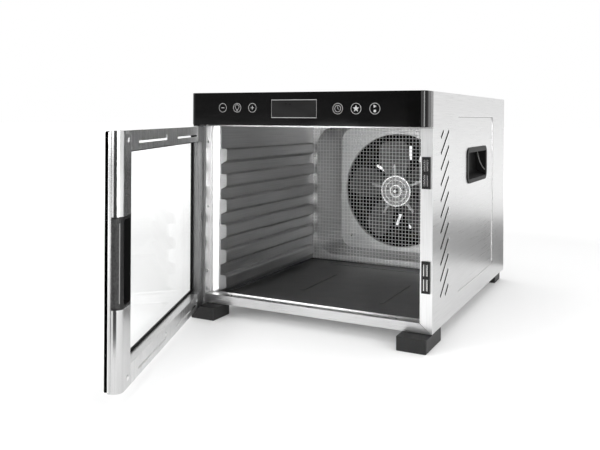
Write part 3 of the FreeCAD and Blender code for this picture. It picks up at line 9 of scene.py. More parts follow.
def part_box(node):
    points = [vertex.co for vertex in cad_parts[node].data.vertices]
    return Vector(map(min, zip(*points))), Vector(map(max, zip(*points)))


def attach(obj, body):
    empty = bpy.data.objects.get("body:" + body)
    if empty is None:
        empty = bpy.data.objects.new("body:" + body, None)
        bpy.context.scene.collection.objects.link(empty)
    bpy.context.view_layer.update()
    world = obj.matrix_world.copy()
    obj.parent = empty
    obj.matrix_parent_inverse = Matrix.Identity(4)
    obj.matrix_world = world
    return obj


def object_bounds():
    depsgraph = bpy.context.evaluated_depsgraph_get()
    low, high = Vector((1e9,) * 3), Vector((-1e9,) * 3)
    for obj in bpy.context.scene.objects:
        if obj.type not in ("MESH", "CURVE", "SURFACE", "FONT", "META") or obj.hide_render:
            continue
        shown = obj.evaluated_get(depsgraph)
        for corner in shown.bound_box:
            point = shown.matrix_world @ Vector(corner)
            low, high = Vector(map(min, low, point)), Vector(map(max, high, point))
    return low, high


# Countertop food dehydrator. Metres, in the CAD frame: X right, Y back, Z up.

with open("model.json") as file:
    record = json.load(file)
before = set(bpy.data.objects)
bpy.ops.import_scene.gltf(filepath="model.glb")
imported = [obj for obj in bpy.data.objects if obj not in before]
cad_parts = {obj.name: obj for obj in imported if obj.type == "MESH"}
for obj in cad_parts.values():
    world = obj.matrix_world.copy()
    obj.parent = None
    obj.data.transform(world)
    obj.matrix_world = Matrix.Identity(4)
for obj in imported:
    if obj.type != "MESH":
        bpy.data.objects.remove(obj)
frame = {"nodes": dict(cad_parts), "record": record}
CAD_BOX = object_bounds()
NODES = frame["nodes"]
MM = 0.001


# ---------------------------------------------------------------- material helpers
class Surface:
    """A principled material whose colour, roughness and relief come from node textures."""

    def __init__(self, name, metallic=0.0, **sockets):
        self.material = bpy.data.materials.new(name)
        self.material.use_nodes = True
        self.tree = self.material.node_tree
        self.shader = self.tree.nodes["Principled BSDF"]
        self.shader.inputs["Metallic"].default_value = metallic
        for socket, value in sockets.items():
            self.shader.inputs[socket.replace("_", " ")].default_value = value
        self.place = self.node("ShaderNodeTexCoord").outputs["Object"]

    def node(self, kind, **settings):
        made = self.tree.nodes.new(kind)
        for key, value in settings.items():
            setattr(made, key, value)
        return made

    def link(self, source, target):
        self.tree.links.new(source, target)

    def scaled(self, stretch):
        mapping = self.node("ShaderNodeMapping")
        mapping.inputs["Scale"].default_value = stretch
        self.link(self.place, mapping.inputs["Vector"])
        return mapping.outputs["Vector"]

    def noise(self, scale, stretch=(1, 1, 1), detail=3.0, rough=0.55):
        made = self.node("ShaderNodeTexNoise")
        made.inputs["Scale"].default_value = scale
        made.inputs["Detail"].default_value = detail
        made.inputs["Roughness"].default_value = rough
        self.link(self.scaled(stretch), made.inputs["Vector"])
        return made.outputs["Fac"]

    def bands(self, scale, direction, distortion=0.0):
        made = self.node("ShaderNodeTexWave", bands_direction=direction)
        made.inputs["Scale"].default_value = scale
        made.inputs["Distortion"].default_value = distortion
        self.link(self.place, made.inputs["Vector"])
        return made.outputs["Fac"]

    def maths(self, operation, a, b):
        made = self.node("ShaderNodeMath", operation=operation)
        for socket, value in zip(made.inputs, (a, b)):
            if isinstance(value, (int, float)):
                socket.default_value = value
            else:
                self.link(value, socket)
        return made.outputs["Value"]

    def ranged(self, factor, low, high, start=0.25, end=0.75):
        made = self.node("ShaderNodeMapRange")
        for key, value in (("From Min", start), ("From Max", end), ("To Min", low), ("To Max", high)):
            made.inputs[key].default_value = value
        self.link(factor, made.inputs["Value"])
        return made.outputs["Result"]

    def ramp(self, factor, stops):
        made = self.node("ShaderNodeValToRGB")
        points = made.color_ramp.elements
        while len(points) < len(stops):
            points.new(0.5)
        for point, (position, colour) in zip(points, stops):
            point.position = position
            point.color = (*colour, 1.0)
        self.link(factor, made.inputs["Fac"])
        return made.outputs["Color"]

    def colour(self, factor, stops):
        self.link(self.ramp(factor, stops), self.shader.inputs["Base Color"])

    def roughness(self, factor, low, high):
        self.link(self.ranged(factor, low, high), self.shader.inputs["Roughness"])

    def beyond(self, direction, reach):
        """1 where the surface lies further along a direction than the reach, in metres; else 0."""
        dot = self.node("ShaderNodeVectorMath", operation="DOT_PRODUCT")
        self.link(self.place, dot.inputs[0])
        dot.inputs[1].default_value = direction
        return self.maths("GREATER_THAN", dot.outputs["Value"], reach)

    def two_tone(self, mask, factor, stops, other_stops):
        """Base colour from one ramp where the mask is 0 and another where it is 1."""
        mix = self.node("ShaderNodeMix", data_type="RGBA")
        self.link(mask, mix.inputs["Factor"])
        self.link(self.ramp(factor, stops), mix.inputs["A"])
        self.link(self.ramp(factor, other_stops), mix.inputs["B"])
        self.link(mix.outputs["Result"], self.shader.inputs["Base Color"])

    def relief(self, layers):
        """Bump from (height, distance in metres) layers."""
        normal = None
        for height, distance in layers:
            bump = self.node("ShaderNodeBump")
            bump.inputs["Distance"].default_value = distance
            self.link(height, bump.inputs["Height"])
            if normal is not None:
                self.link(normal, bump.inputs["Normal"])
            normal = bump.outputs["Normal"]
        self.link(normal, self.shader.inputs["Normal"])


def grey(value):
    return (value, value, value)


def blend_of(surface, first, first_share, second):
    """Two factors added, the first with its share and the second with the rest."""
    return surface.maths("ADD", surface.maths("MULTIPLY", first, first_share),
                         surface.maths("MULTIPLY", second, round(1 - first_share, 2)))


def steel(name, shade, rough, along, streak=0.05, grain=1500.0, relief=0.00002, spread=0.10):
    """Brushed sheet: fine streaks that run along one axis, with faint handling marks."""
    surface = Surface(name, metallic=1.0)
    stretch = [1.0, 1.0, 1.0]
    stretch["xyz".index(along)] = 0.012
    streaks = surface.noise(grain, stretch, detail=2.0)
    broad = surface.noise(7.0, (1, 1, 1), detail=3.0)
    mixed = blend_of(surface, streaks, 0.7, broad)
    surface.colour(mixed, ((0.3, grey(shade * (1 - spread))), (0.7, grey(shade * (1 + spread)))))
    surface.roughness(mixed, rough - streak, rough + streak)
    surface.relief([(streaks, relief)])
    return surface.material


def moulded(name, shade, rough, grain=1400.0, relief=0.00006, spread=0.25, **sockets):
    """Moulded, cast or painted surface with a fine texture and uneven sheen."""
    surface = Surface(name, **sockets)
    fine = surface.noise(grain, detail=2.0)
    broad = surface.noise(18.0, detail=4.0)
    mixed = blend_of(surface, fine, 0.5, broad)
    surface.colour(mixed, ((0.35, grey(shade * (1 - spread))), (0.65, grey(shade * (1 + spread)))))
    surface.roughness(mixed, rough - 0.06, rough + 0.06)
    surface.relief([(fine, relief)])
    return surface.material


def gloss(name, shade, rough, level=0.25):
    """Polished black moulding with faint dust and wipe marks."""
    surface = Surface(name, Specular_IOR_Level=level)
    wipes = surface.noise(60.0, (0.3, 1, 1.4), detail=5.0, rough=0.6)
    surface.colour(wipes, ((0.3, grey(shade * 0.8)), (0.75, grey(shade * 1.25))))
    surface.roughness(wipes, rough, rough + 0.07)
    surface.relief([(surface.noise(9.0, detail=1.0), 0.0002)])
    return surface.material


def banded(name, low, high, scale, direction, rough, metallic=0.0, depth=0.0003):
    """Stack of laminations, windings or ribs across one direction."""
    surface = Surface(name, metallic=metallic)
    lines = surface.bands(scale, direction)
    fine = surface.noise(700.0)
    mixed = blend_of(surface, lines, 0.7, fine)
    surface.colour(mixed, ((0.2, low), (0.8, high)))
    surface.roughness(mixed, rough - 0.08, rough + 0.08)
    surface.relief([(lines, depth)])
    return surface.material


def clear_glass(name):
    """Clear tempered pane with faint smears and a green tinge in its thickness."""
    surface = Surface(name, Transmission_Weight=1.0, IOR=1.10)
    smears = surface.noise(14.0, (1, 1, 0.5), detail=5.0)
    surface.colour(smears, ((0.2, (0.988, 0.994, 0.991)), (0.8, (0.997, 1.0, 0.998))))
    surface.roughness(smears, 0.0, 0.012)
    return surface.material


def circuit_board(name):
    """Green solder mask with lighter tracks."""
    surface = Surface(name)
    tracks = surface.bands(170.0, "DIAGONAL", 6.0)
    surface.colour(tracks, ((0.6, (0.012, 0.09, 0.03)), (0.75, (0.05, 0.24, 0.09))))
    surface.roughness(tracks, 0.32, 0.45)
    surface.relief([(tracks, 0.00005)])
    return surface.material


def non_stick(name):
    """Dark coated tray: speckled enamel with dull scuffs."""
    surface = Surface(name, metallic=0.55)
    specks = surface.noise(1500.0, detail=2.0)
    scuffs = surface.noise(11.0, (1.0, 0.4, 1.0), detail=6.0, rough=0.7)
    mixed = blend_of(surface, specks, 0.35, scuffs)
    surface.colour(mixed, ((0.3, grey(0.07)), (0.7, grey(0.15))))
    surface.roughness(mixed, 0.30, 0.46)
    surface.relief([(specks, 0.00003), (surface.noise(16.0, detail=2.0), 0.0010)])
    return surface.material


def shade_dark_sheath(name):
    """Heater tube coloured near-black as painted shade, with a faint heat tint."""
    surface = Surface(name, metallic=0.8)
    tint = surface.noise(35.0, detail=4.0)
    surface.colour(tint, (
        (0.3, (0.035, 0.031, 0.028)),
        (0.55, (0.05, 0.042, 0.034)),
        (0.75, (0.03, 0.028, 0.032)),
    ))
    surface.roughness(tint, 0.40, 0.60)
    surface.relief([(surface.noise(900.0), 0.00003)])
    return surface.material


def shade_lined_steel(name, direction, reach):
    """Brushed sheet outside, coloured near-black as painted shade on the side that lies short of the reach.
    """
    surface = Surface(name, metallic=1.0)
    streaks = surface.noise(1500.0, (1, 1, 0.012), detail=2.0)
    surface.two_tone(surface.beyond(direction, reach), streaks, ((0.3, grey(0.012)), (0.7, grey(0.022))),
                     ((0.3, grey(0.60)), (0.7, grey(0.72))))
    surface.roughness(streaks, 0.28, 0.38)
    surface.relief([(streaks, 0.00002)])
    return surface.material


def highlight_edged_border(name, direction, reach):
    """Black printed border whose outer end edge is coloured as bright metal, a painted highlight line."""
    surface = Surface(name, Specular_IOR_Level=0.2)
    wipes = surface.noise(60.0, (0.3, 1, 1.4), detail=5.0, rough=0.6)
    edge = surface.beyond(direction, reach)
    surface.two_tone(edge, wipes, ((0.3, grey(0.004)), (0.75, grey(0.006))),
                     ((0.3, grey(0.80)), (0.75, grey(0.88))))
    surface.link(edge, surface.shader.inputs["Metallic"])
    surface.roughness(wipes, 0.16, 0.24)
    surface.relief([(surface.noise(9.0, detail=1.0), 0.0002)])
    return surface.material


def painted_shade_stile(name, direction, reach):
    """Brushed door frame with painted shade: its hinge-side stile is coloured darker than the rest."""
    surface = Surface(name, metallic=1.0)
    streaks = surface.noise(1500.0, (1, 1, 0.012), detail=2.0)
    surface.two_tone(surface.beyond(direction, reach), streaks, ((0.3, grey(0.14)), (0.7, grey(0.22))),
                     ((0.3, grey(0.58)), (0.7, grey(0.72))))
    surface.roughness(streaks, 0.24, 0.34)
    surface.relief([(streaks, 0.00002)])
    return surface.material


def painted_shade_grip(name, direction, reach):
    """Grained grip with painted shade: black short of its inner lip."""
    surface = Surface(name, Specular_IOR_Level=0.35)
    grain = surface.noise(420.0, detail=4.0, rough=0.7)
    surface.two_tone(surface.beyond(direction, reach), grain, ((0.35, grey(0.003)), (0.65, grey(0.005))),
                     ((0.35, grey(0.008)), (0.65, grey(0.035))))
    surface.roughness(grain, 0.42, 0.62)
    surface.relief([(grain, 0.0006)])
    return surface.material


# ---------------------------------------------------------------- materials of the CAD nodes
# Direction along the open door, from its hinge to its free edge, and distances along it from the origin.
ALONG_DOOR = (0.3695, -0.9292, 0.0)
# Painted shade on the hinge-side stile of the door's inner frame ends this far along the door.
STILE_END = 0.1800
# The grip is painted black as shade up to its inner lip, this far along the door.
GRIP_INNER_LIP = 0.4770
# The border's painted highlight edge starts this far along the door.
BORDER_END_FACE = 0.4795
# The rear sheet is near-black painted shade up to this distance along Y, and bright steel behind it.
BACKWARD = (0.0, 1.0, 0.0)
REAR_SHADE_END = CAD_BOX[1][1] - 0.0030
SLOT_MATERIALS = {
    "brushed_steel": steel("brushed_steel_upright", 0.66, 0.30, "z"),
    "cavity_steel": steel("cavity_steel", 0.66, 0.34, "y", grain=900.0, spread=0.12),
    "wire_steel": steel("wire_steel", 0.97, 0.60, "x", grain=400.0, spread=0.05),
    "zinc_steel": steel("zinc_steel", 0.50, 0.42, "x", streak=0.10, grain=500.0, spread=0.2),
    # The fan steel is darkened as painted shade on the fan deep in the cavity.
    "fan_steel": steel("fan_steel", 0.17, 0.36, "x", grain=700.0, spread=0.14),
    "hub_metal": moulded("hub_metal", 0.42, 0.34, grain=900.0, spread=0.10, metallic=1.0),
    "dark_tray": non_stick("dark_tray"),
    "bright_fixings": moulded("bright_fixings", 0.80, 0.16, grain=600.0, relief=0.00001, spread=0.06,
                              metallic=1.0),
    "black_gloss": gloss("black_gloss", 0.002, 0.05, 0.26),
    "grey_trim": moulded("grey_trim", 0.16, 0.40, spread=0.12),
    "black_plastic": moulded("black_plastic", 0.008, 0.36, Specular_IOR_Level=0.3),
    "grip_rubber": painted_shade_grip("grip_rubber", ALONG_DOOR, GRIP_INNER_LIP),
    "foot_rubber": moulded("foot_rubber", 0.016, 0.50, grain=900.0, relief=0.00012, Specular_IOR_Level=0.3),
    "gasket_rubber": moulded("gasket_rubber", 0.006, 0.55, grain=1200.0, Specular_IOR_Level=0.2),
    "smoked_lens": gloss("smoked_lens", 0.012, 0.06, 0.35),
    "display": gloss("display_backing", 0.045, 0.20),
    "clear_glass": clear_glass("clear_glass"),
    "border_black": highlight_edged_border("border_black", ALONG_DOOR, BORDER_END_FACE),
    "circuit_board": circuit_board("circuit_board"),
    "components": moulded("components", 0.05, 0.42, spread=0.4),
    "lamination": banded("lamination", grey(0.10), grey(0.36), 300.0, "Y", 0.45, metallic=1.0),
    "copper_winding": banded("copper_winding", (0.28, 0.09, 0.03), (0.72, 0.33, 0.13), 220.0, "DIAGONAL",
                             0.34, metallic=0.9),
    "heater_sheath": shade_dark_sheath("heater_sheath"),
    "magnet": moulded("magnet", 0.05, 0.62, grain=800.0, spread=0.3),
}
LENGTHWISE_STEEL = steel("brushed_steel_lengthwise", 0.66, 0.30, "x")
DEPTHWISE_STEEL = steel("brushed_steel_depthwise", 0.66, 0.30, "y")
SHROUD_STEEL = steel("shroud_steel", 0.72, 0.40, "x", grain=900.0, spread=0.05)
# Painted light: the right frame face gets a brighter copy of the brushed steel.
LIT_FACE_STEEL = steel("frame_face_painted_light", 0.88, 0.32, "z")
COLUMN_STEEL = steel("column_steel", 0.56, 0.17, "z", streak=0.03)
CUP_BLACK = moulded("cup_black", 0.006, 0.45, Specular_IOR_Level=0.10)
# Painted shade: the motor bracket and fan nut are coloured near-black.
PAINTED_SHADE_METAL = moulded("motor_and_nut_painted_shade", 0.05, 0.42, metallic=1.0)
NODE_MATERIALS = {
    "fan_shroud": SHROUD_STEEL,
    "frame_right": LIT_FACE_STEEL,
    "door_column": COLUMN_STEEL,
    "door_inner_frame": painted_shade_stile("door_inner_steel_painted_shade", ALONG_DOOR, STILE_END),
    "handle_cup_right": CUP_BLACK,
    "handle_cup_left": CUP_BLACK,
    "rear_panel": shade_lined_steel("rear_panel_painted_shade", BACKWARD, REAR_SHADE_END),
    "motor_bracket": PAINTED_SHADE_METAL,
    "fan_nut": PAINTED_SHADE_METAL,
    "side_panel_right": DEPTHWISE_STEEL,
    "side_panel_left": DEPTHWISE_STEEL,
    "top_panel": DEPTHWISE_STEEL,
    "frame_bottom": LENGTHWISE_STEEL,
    "frame_top": LENGTHWISE_STEEL,
}

for subpart in frame["record"]["subparts"]:
    node = NODES[subpart["node"]]
    material = NODE_MATERIALS.get(subpart["node"], SLOT_MATERIALS[subpart["material_slot"]])
    node.data.materials.clear()
    node.data.materials.append(material)
NODES["door_glass"].visible_shadow = False


# ---------------------------------------------------------------- flat pieces
def face_loop(bottom, top, points):
    """Thin closed plate over a polygon in x, z."""
    mesh = bmesh.new()
    low = [mesh.verts.new((x, bottom, z)) for x, z in points]
    high = [mesh.verts.new((x, top, z)) for x, z in points]
    mesh.faces.new(low)
    mesh.faces.new(list(reversed(high)))
    count = len(points)
    for i in range(count):
        j = (i + 1) % count
        mesh.faces.new((low[j], low[i], high[i], high[j]))
    return mesh


def circle(x, z, radius, start=0.0, end=360.0, count=48):
    """Points round a circle or an arc, from start to end in degrees."""
    steps = count if end - start >= 360 else count + 1
    span = math.radians(end - start)
    first = math.radians(start)
    turns = [first + span * i / count for i in range(steps)]
    return [(x + radius * math.cos(angle), z + radius * math.sin(angle)) for angle in turns]


def band(points, width, closed):
    """Four-sided plates that make a line of even width along points."""
    count = len(points)
    offsets = []
    for i, (x, z) in enumerate(points):
        before = points[i - 1] if closed or i > 0 else points[i]
        after = points[(i + 1) % count] if closed or i < count - 1 else points[i]
        along = Vector((after[0] - before[0], after[1] - before[1])).normalized()
        offsets.append(Vector((-along.y, along.x)) * width / 2)
    quads = []
    for i in range(count if closed else count - 1):
        j = (i + 1) % count
        a, b = Vector(points[i]), Vector(points[j])
        outline = (a - offsets[i], b - offsets[j], b + offsets[j], a + offsets[i])
        quads.append([tuple(corner) for corner in outline])
    return quads


def plates(name, polygons, face, thickness, material, body, turn=0.0):
    """One object of thin plates on a face across Y, then turned about the vertical by degrees."""
    mesh = bpy.data.meshes.new(name)
    whole = bmesh.new()
    for polygon in polygons:
        part = face_loop(face - thickness, face + thickness, polygon)
        spare = bpy.data.meshes.new("spare")
        part.to_mesh(spare)
        part.free()
        whole.from_mesh(spare)
        bpy.data.meshes.remove(spare)
    bmesh.ops.recalc_face_normals(whole, faces=whole.faces)
    whole.to_mesh(mesh)
    whole.free()
    mesh.transform(Matrix.Rotation(math.radians(turn), 4, "Z"))
    mesh.materials.append(material)
    piece = bpy.data.objects.new(name, mesh)
    bpy.context.scene.collection.objects.link(piece)
    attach(piece, body)


# ---------------------------------------------------------------- printed symbols on the fascia
LINE = 0.45 * MM
SIGN_LINE = LINE * 1.6
SIGN_HALF = 2.4 * MM
LEFT_KEY_RADIUS = 5.9 * MM
RIGHT_KEY_RADIUS = 6.7 * MM
PRINT_DEPTH = 0.12 * MM
FASCIA_LOW, FASCIA_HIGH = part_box("fascia")
FASCIA_FACE = FASCIA_LOW.y
LEFT_KEYS_Z = FASCIA_HIGH.z - 20.5 * MM
RIGHT_KEYS_Z = FASCIA_HIGH.z - 21.7 * MM
WINDOW_MARGIN = 0.2 * MM
WINDOW_LINE = 0.7 * MM


def key_ring(x, z, radius):
    return band(circle(x, z, radius), LINE, True)


def minus(x, z):
    return band([(x - SIGN_HALF, z), (x + SIGN_HALF, z)], SIGN_LINE, False)


def plus(x, z):
    return minus(x, z) + band([(x, z - SIGN_HALF), (x, z + SIGN_HALF)], SIGN_LINE, False)


def lamp(x, z):
    top = z + 1.2 * MM
    lines = band(circle(x, top, 3.0 * MM, -60, 240, 24), LINE, False)
    for step in range(3):
        half = (1.5 - 0.2 * step) * MM
        level = z - (2.2 + 1.1 * step) * MM
        lines += band([(x - half, level), (x + half, level)], LINE, False)
    return lines


def clock(x, z):
    return (band(circle(x, z, 4.1 * MM), LINE, True)
            + band([(x, z + 2.9 * MM), (x, z), (x + 2.1 * MM, z - 1.0 * MM)], LINE, False))


def star(x, z):
    tips = []
    for i in range(10):
        radius = (4.6 if i % 2 == 0 else 1.9) * MM
        angle = math.radians(90 + 36 * i)
        tips.append((x + radius * math.cos(angle), z + radius * math.sin(angle)))
    hub = [tips[i] for i in range(1, 10, 2)]
    points = [[tips[i - 1], tips[i], tips[(i + 1) % 10]] for i in range(0, 10, 2)]
    return points + [hub]


def play_stop(x, z):
    triangle = [(x - 1.6 * MM, z + 0.8 * MM), (x + 2.0 * MM, z + 2.9 * MM), (x - 1.6 * MM, z + 5.0 * MM)]
    side = 1.5 * MM
    low, high = z - 4.4 * MM, z - 1.4 * MM
    square = [(x - side, low), (x + side, low), (x + side, high), (x - side, high)]
    return [triangle, square]


PRINT_WHITE = moulded("printed_symbols", 0.42, 0.45, grain=1200.0, relief=0.00001, spread=0.04)
symbols = []
for x, mark in ((-116.9, minus), (-93.8, lamp), (-70.0, plus)):
    symbols += key_ring(x * MM, LEFT_KEYS_Z, LEFT_KEY_RADIUS) + mark(x * MM, LEFT_KEYS_Z)
for x, mark in ((54.8, clock), (79.6, star), (104.6, play_stop)):
    symbols += key_ring(x * MM, RIGHT_KEYS_Z, RIGHT_KEY_RADIUS) + mark(x * MM, RIGHT_KEYS_Z)
plates("key_symbols", symbols, FASCIA_FACE, PRINT_DEPTH, PRINT_WHITE, "cabinet")

window_low, window_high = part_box("display_window")
left, right = window_low.x - WINDOW_MARGIN, window_high.x + WINDOW_MARGIN
bottom, top = window_low.z - WINDOW_MARGIN, window_high.z + WINDOW_MARGIN
corners = [(left, bottom), (right, bottom), (right, top), (left, top)]
plates("display_border", band(corners, WINDOW_LINE, True), FASCIA_FACE, PRINT_DEPTH, PRINT_WHITE,
       "cabinet")


# ---------------------------------------------------------------- painted shadows and painted highlights on the side slits
SLIT_COUNT = 11
SLIT_TOP = 0.265
SLIT_BOTTOM = 0.054
SLIT_RISE = 0.0288
SLIT_RUN = 0.036
SLIT_SLOPE = SLIT_RISE / SLIT_RUN
SLIT_PITCH = 0.020
SLIT_START_Y = -0.177
SHADOW_WIDTH = 4.0 * MM
LIP_WIDTH = 1.4 * MM
LIP_SHIFT = 3.2 * MM
SIDE_FACE = 0.170
SIDES = (("right", 90), ("left", -90))
# Bright metal strips beside the slits are painted highlights; the dark strips in them are painted shadows.
HIGHLIGHT_METAL = moulded("slit_highlight_lip", 0.90, 0.22, grain=900.0, relief=0.00001, spread=0.05, metallic=1.0)
SHADOW_MATERIAL = moulded("slit_shadow", 0.006, 0.6, Specular_IOR_Level=0.1)


def for_side(line, turn):
    """Line of (y, z) points as drawn before plates() turns it onto a side by 90 or -90 degrees."""
    return [(y if turn > 0 else -y, z) for y, z in line]


def slit_lines(shift):
    """Centre lines (y, z) of the slanted slits, moved along Y."""
    lines = []
    for row in range(-1, SLIT_COUNT):
        front_z = SLIT_TOP - SLIT_RISE - row * SLIT_PITCH
        low, high = max(front_z, SLIT_BOTTOM), min(front_z + SLIT_RISE, SLIT_TOP)
        if high - low > SLIT_RISE / 5:
            lines.append([(SLIT_START_Y + shift + (z - front_z) / SLIT_SLOPE, z) for z in (low, high)])
    return lines


def slit_bands(shift, width, turn):
    return [quad for line in slit_lines(shift) for quad in band(for_side(line, turn), width, False)]


for side, turn in SIDES:
    plates(f"slit_shadows_{side}", slit_bands(0.0, SHADOW_WIDTH, turn), -SIDE_FACE - 0.02 * MM, 0.05 * MM,
           SHADOW_MATERIAL, "cabinet", turn)
    plates(f"slit_highlight_lips_{side}", slit_bands(LIP_SHIFT, LIP_WIDTH, turn), -SIDE_FACE - 0.15 * MM, 0.25 * MM,
           HIGHLIGHT_METAL, "cabinet", turn)


# ---------------------------------------------------------------- painted shade line and painted highlight line along the pressed border of the side panels
# The dark line is painted shade and the glint line a painted highlight along the pressed step.
FIELD_SHADE_LINE = moulded("field_shade_line", 0.10, 0.40, metallic=1.0)
FIELD_TOP = 0.2828
FIELD_REAR = 0.1228
FIELD_LOW = 0.046
FIELD_FRONT = -0.094
FIELD_CORNER = 0.005
FIELD_LINE = 0.7 * MM


def field_line(offset):
    """Top and rear border line of the pressed field, moved outwards."""
    top, rear = FIELD_TOP + offset, FIELD_REAR + offset
    return [(FIELD_FRONT, top), (rear - FIELD_CORNER, top), (rear, top - FIELD_CORNER), (rear, FIELD_LOW)]


for side, turn in SIDES:
    for kind, offset, material in (("edge", 0.0, FIELD_SHADE_LINE), ("glint", 0.9 * MM, HIGHLIGHT_METAL)):
        points = for_side(field_line(offset), turn)
        plates(f"field_{kind}_{side}", band(points, FIELD_LINE, False), -SIDE_FACE - 0.05 * MM, 0.08 * MM,
               material, "cabinet", turn)


# ---------------------------------------------------------------- painted highlight: curved grey strip in each carry cup
CUP_WALL_Y = 0.0715
# The curved grey strip is a painted highlight on the cup's curved inner wall.
CUP_GLINT = moulded("cup_glint", 0.30, 0.35, spread=0.10)
GLINT_WIDTH = 1.4 * MM
GLINT_CURVE = ((157, 229), (158.5, 221), (161, 213), (164.5, 206), (168.5, 201))
for side, sign in (("right", 1), ("left", -1)):
    arc = [(sign * x * MM, z * MM) for x, z in GLINT_CURVE]
    plates(f"cup_glint_{side}", band(arc, GLINT_WIDTH, False), CUP_WALL_Y - 0.2 * MM, 0.15 * MM, CUP_GLINT,
           "cabinet")


# ---------------------------------------------------------------- fan hub disc, holes and rings; the bright rings are painted highlights
FAN_AXIS_Z = 0.1525
HUB_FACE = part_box("fan_hub")[0].y
HUB_DISC = moulded("hub_disc", 0.30, 0.36, grain=900.0, metallic=1.0)
HUB_RING_HIGHLIGHT = moulded("hub_highlight_ring", 0.85, 0.24, grain=900.0, spread=0.06, metallic=1.0)
HUB_HOLE = moulded("hub_hole", 0.01, 0.5)


def ring_quads(radius, width):
    """Ring round the fan's axis."""
    return band(circle(0.0, FAN_AXIS_Z, radius), width, True)


def hub_dots(count, ring, radius):
    """Round plates evenly spaced on a circle round the fan's axis."""
    dots = []
    for i in range(count):
        turn = math.radians(90 + 360 * i / count)
        dots.append(circle(ring * math.cos(turn), FAN_AXIS_Z + ring * math.sin(turn), radius, count=16))
    return dots


plates("hub_disc", ring_quads(17.0 * MM, 16.0 * MM), HUB_FACE - 0.1 * MM, 0.2 * MM, HUB_DISC,
       "fan")
# The bright rings are painted highlights on the hub's rims.
RING_SIZES = ((26.0, 2.4), (10.0, 1.6), (19.5, 0.9))
rings = [quad for radius, width in RING_SIZES for quad in ring_quads(radius * MM, width * MM)]
plates("hub_highlight_rings", rings, HUB_FACE - 0.5 * MM, 0.3 * MM, HUB_RING_HIGHLIGHT, "fan")
plates("hub_holes", hub_dots(5, 14.6 * MM, 2.0 * MM), HUB_FACE - 0.35 * MM, 0.2 * MM, HUB_HOLE,
       "fan")


# ---------------------------------------------------------------- painted highlight line on the grip
def bar(name, foot, height, radius, material, body):
    """Thin upright round bar."""
    made = bmesh.new()
    bmesh.ops.create_cone(made, cap_ends=True, segments=12, radius1=radius, radius2=radius, depth=height)
    bmesh.ops.translate(made, verts=made.verts, vec=Vector(foot) + Vector((0, 0, height / 2)))
    mesh = bpy.data.meshes.new(name)
    made.to_mesh(mesh)
    made.free()
    mesh.materials.append(material)
    piece = bpy.data.objects.new(name, mesh)
    bpy.context.scene.collection.objects.link(piece)
    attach(piece, body)


# A thin light grey bar stands as a painted highlight along the grip.
GRIP_HIGHLIGHT = moulded("grip_highlight", 0.22, 0.35, spread=0.10)
GRIP_HIGHLIGHT_FOOT = (-0.0380, -0.5290, 0.104)
GRIP_HIGHLIGHT_HEIGHT = 0.076
bar("grip_highlight", GRIP_HIGHLIGHT_FOOT, GRIP_HIGHLIGHT_HEIGHT, 0.5 * MM, GRIP_HIGHLIGHT, "door")


# ---------------------------------------------------------------- floor, light and camera
def stage_plane(name, side, material):
    """Square floor at height zero, centred on the origin."""
    half = side / 2
    mesh = bpy.data.meshes.new(name)
    corners = [(-half, -half, 0), (half, -half, 0), (half, half, 0), (-half, half, 0)]
    mesh.from_pydata(corners, [], [(0, 1, 2, 3)])
    mesh.materials.append(material)
    plane = bpy.data.objects.new(name, mesh)
    bpy.context.scene.collection.objects.link(plane)


# The pale floor glows more with distance from the origin, where the lights reach it less.
FLOOR_SIDE = 40
GLOW_NEAR = 0.06
GLOW_FAR = 0.55
GLOW_START = 0.7
GLOW_END = 1.8
FLOOR = Surface("studio_floor", Specular_IOR_Level=0.0)
FLOOR.shader.inputs["Emission Color"].default_value = (1, 1, 1, 1)
distance = FLOOR.node("ShaderNodeVectorMath", operation="LENGTH")
FLOOR.link(FLOOR.place, distance.inputs[0])
glow = FLOOR.ranged(distance.outputs["Value"], GLOW_NEAR, GLOW_FAR, GLOW_START, GLOW_END)
FLOOR.link(glow, FLOOR.shader.inputs["Emission Strength"])
FLOOR.colour(FLOOR.noise(2.0), ((0.2, grey(0.88)), (0.8, grey(0.91))))
FLOOR.roughness(FLOOR.noise(30.0), 0.42, 0.5)
stage_plane("floor", FLOOR_SIDE, FLOOR.material)


def softbox(name, location, target, width, height, power, glossy=False, diffuse=True):
    """Flat light aimed at a point; glossy: seen in reflections, diffuse: lights matt surfaces."""
    light = bpy.data.lights.new(name, "AREA")
    light.shape = "RECTANGLE"
    light.size = width
    light.size_y = height
    light.energy = power
    lamp_object = bpy.data.objects.new(name, light)
    lamp_object.location = location
    lamp_object.rotation_euler = (Vector(target) - Vector(location)).to_track_quat("-Z", "Y").to_euler()
    lamp_object.visible_glossy = glossy
    lamp_object.visible_diffuse = diffuse
    bpy.context.scene.collection.objects.link(lamp_object)


softbox("key_softbox", (-1.3, -2.2, 0.75), (0, 0, 0.15), 2.2, 1.4, 34)
softbox("right_softbox", (1.9, -0.9, 0.9), (0.1, 0, 0.15), 1.4, 1.2, 14)
softbox("top_softbox", (0.0, -0.3, 2.3), (0, 0, 0), 2.4, 2.0, 17)
softbox("corner_strip", (1.32, -1.19, 0.25), (0.17, -0.23, 0.29), 0.6, 0.4, 12, glossy=True,
        diffuse=False)
softbox("cavity_softbox", (0.3, -1.6, 0.5), (-0.05, 0.1, 0.15), 0.9, 0.6, 5, glossy=True)


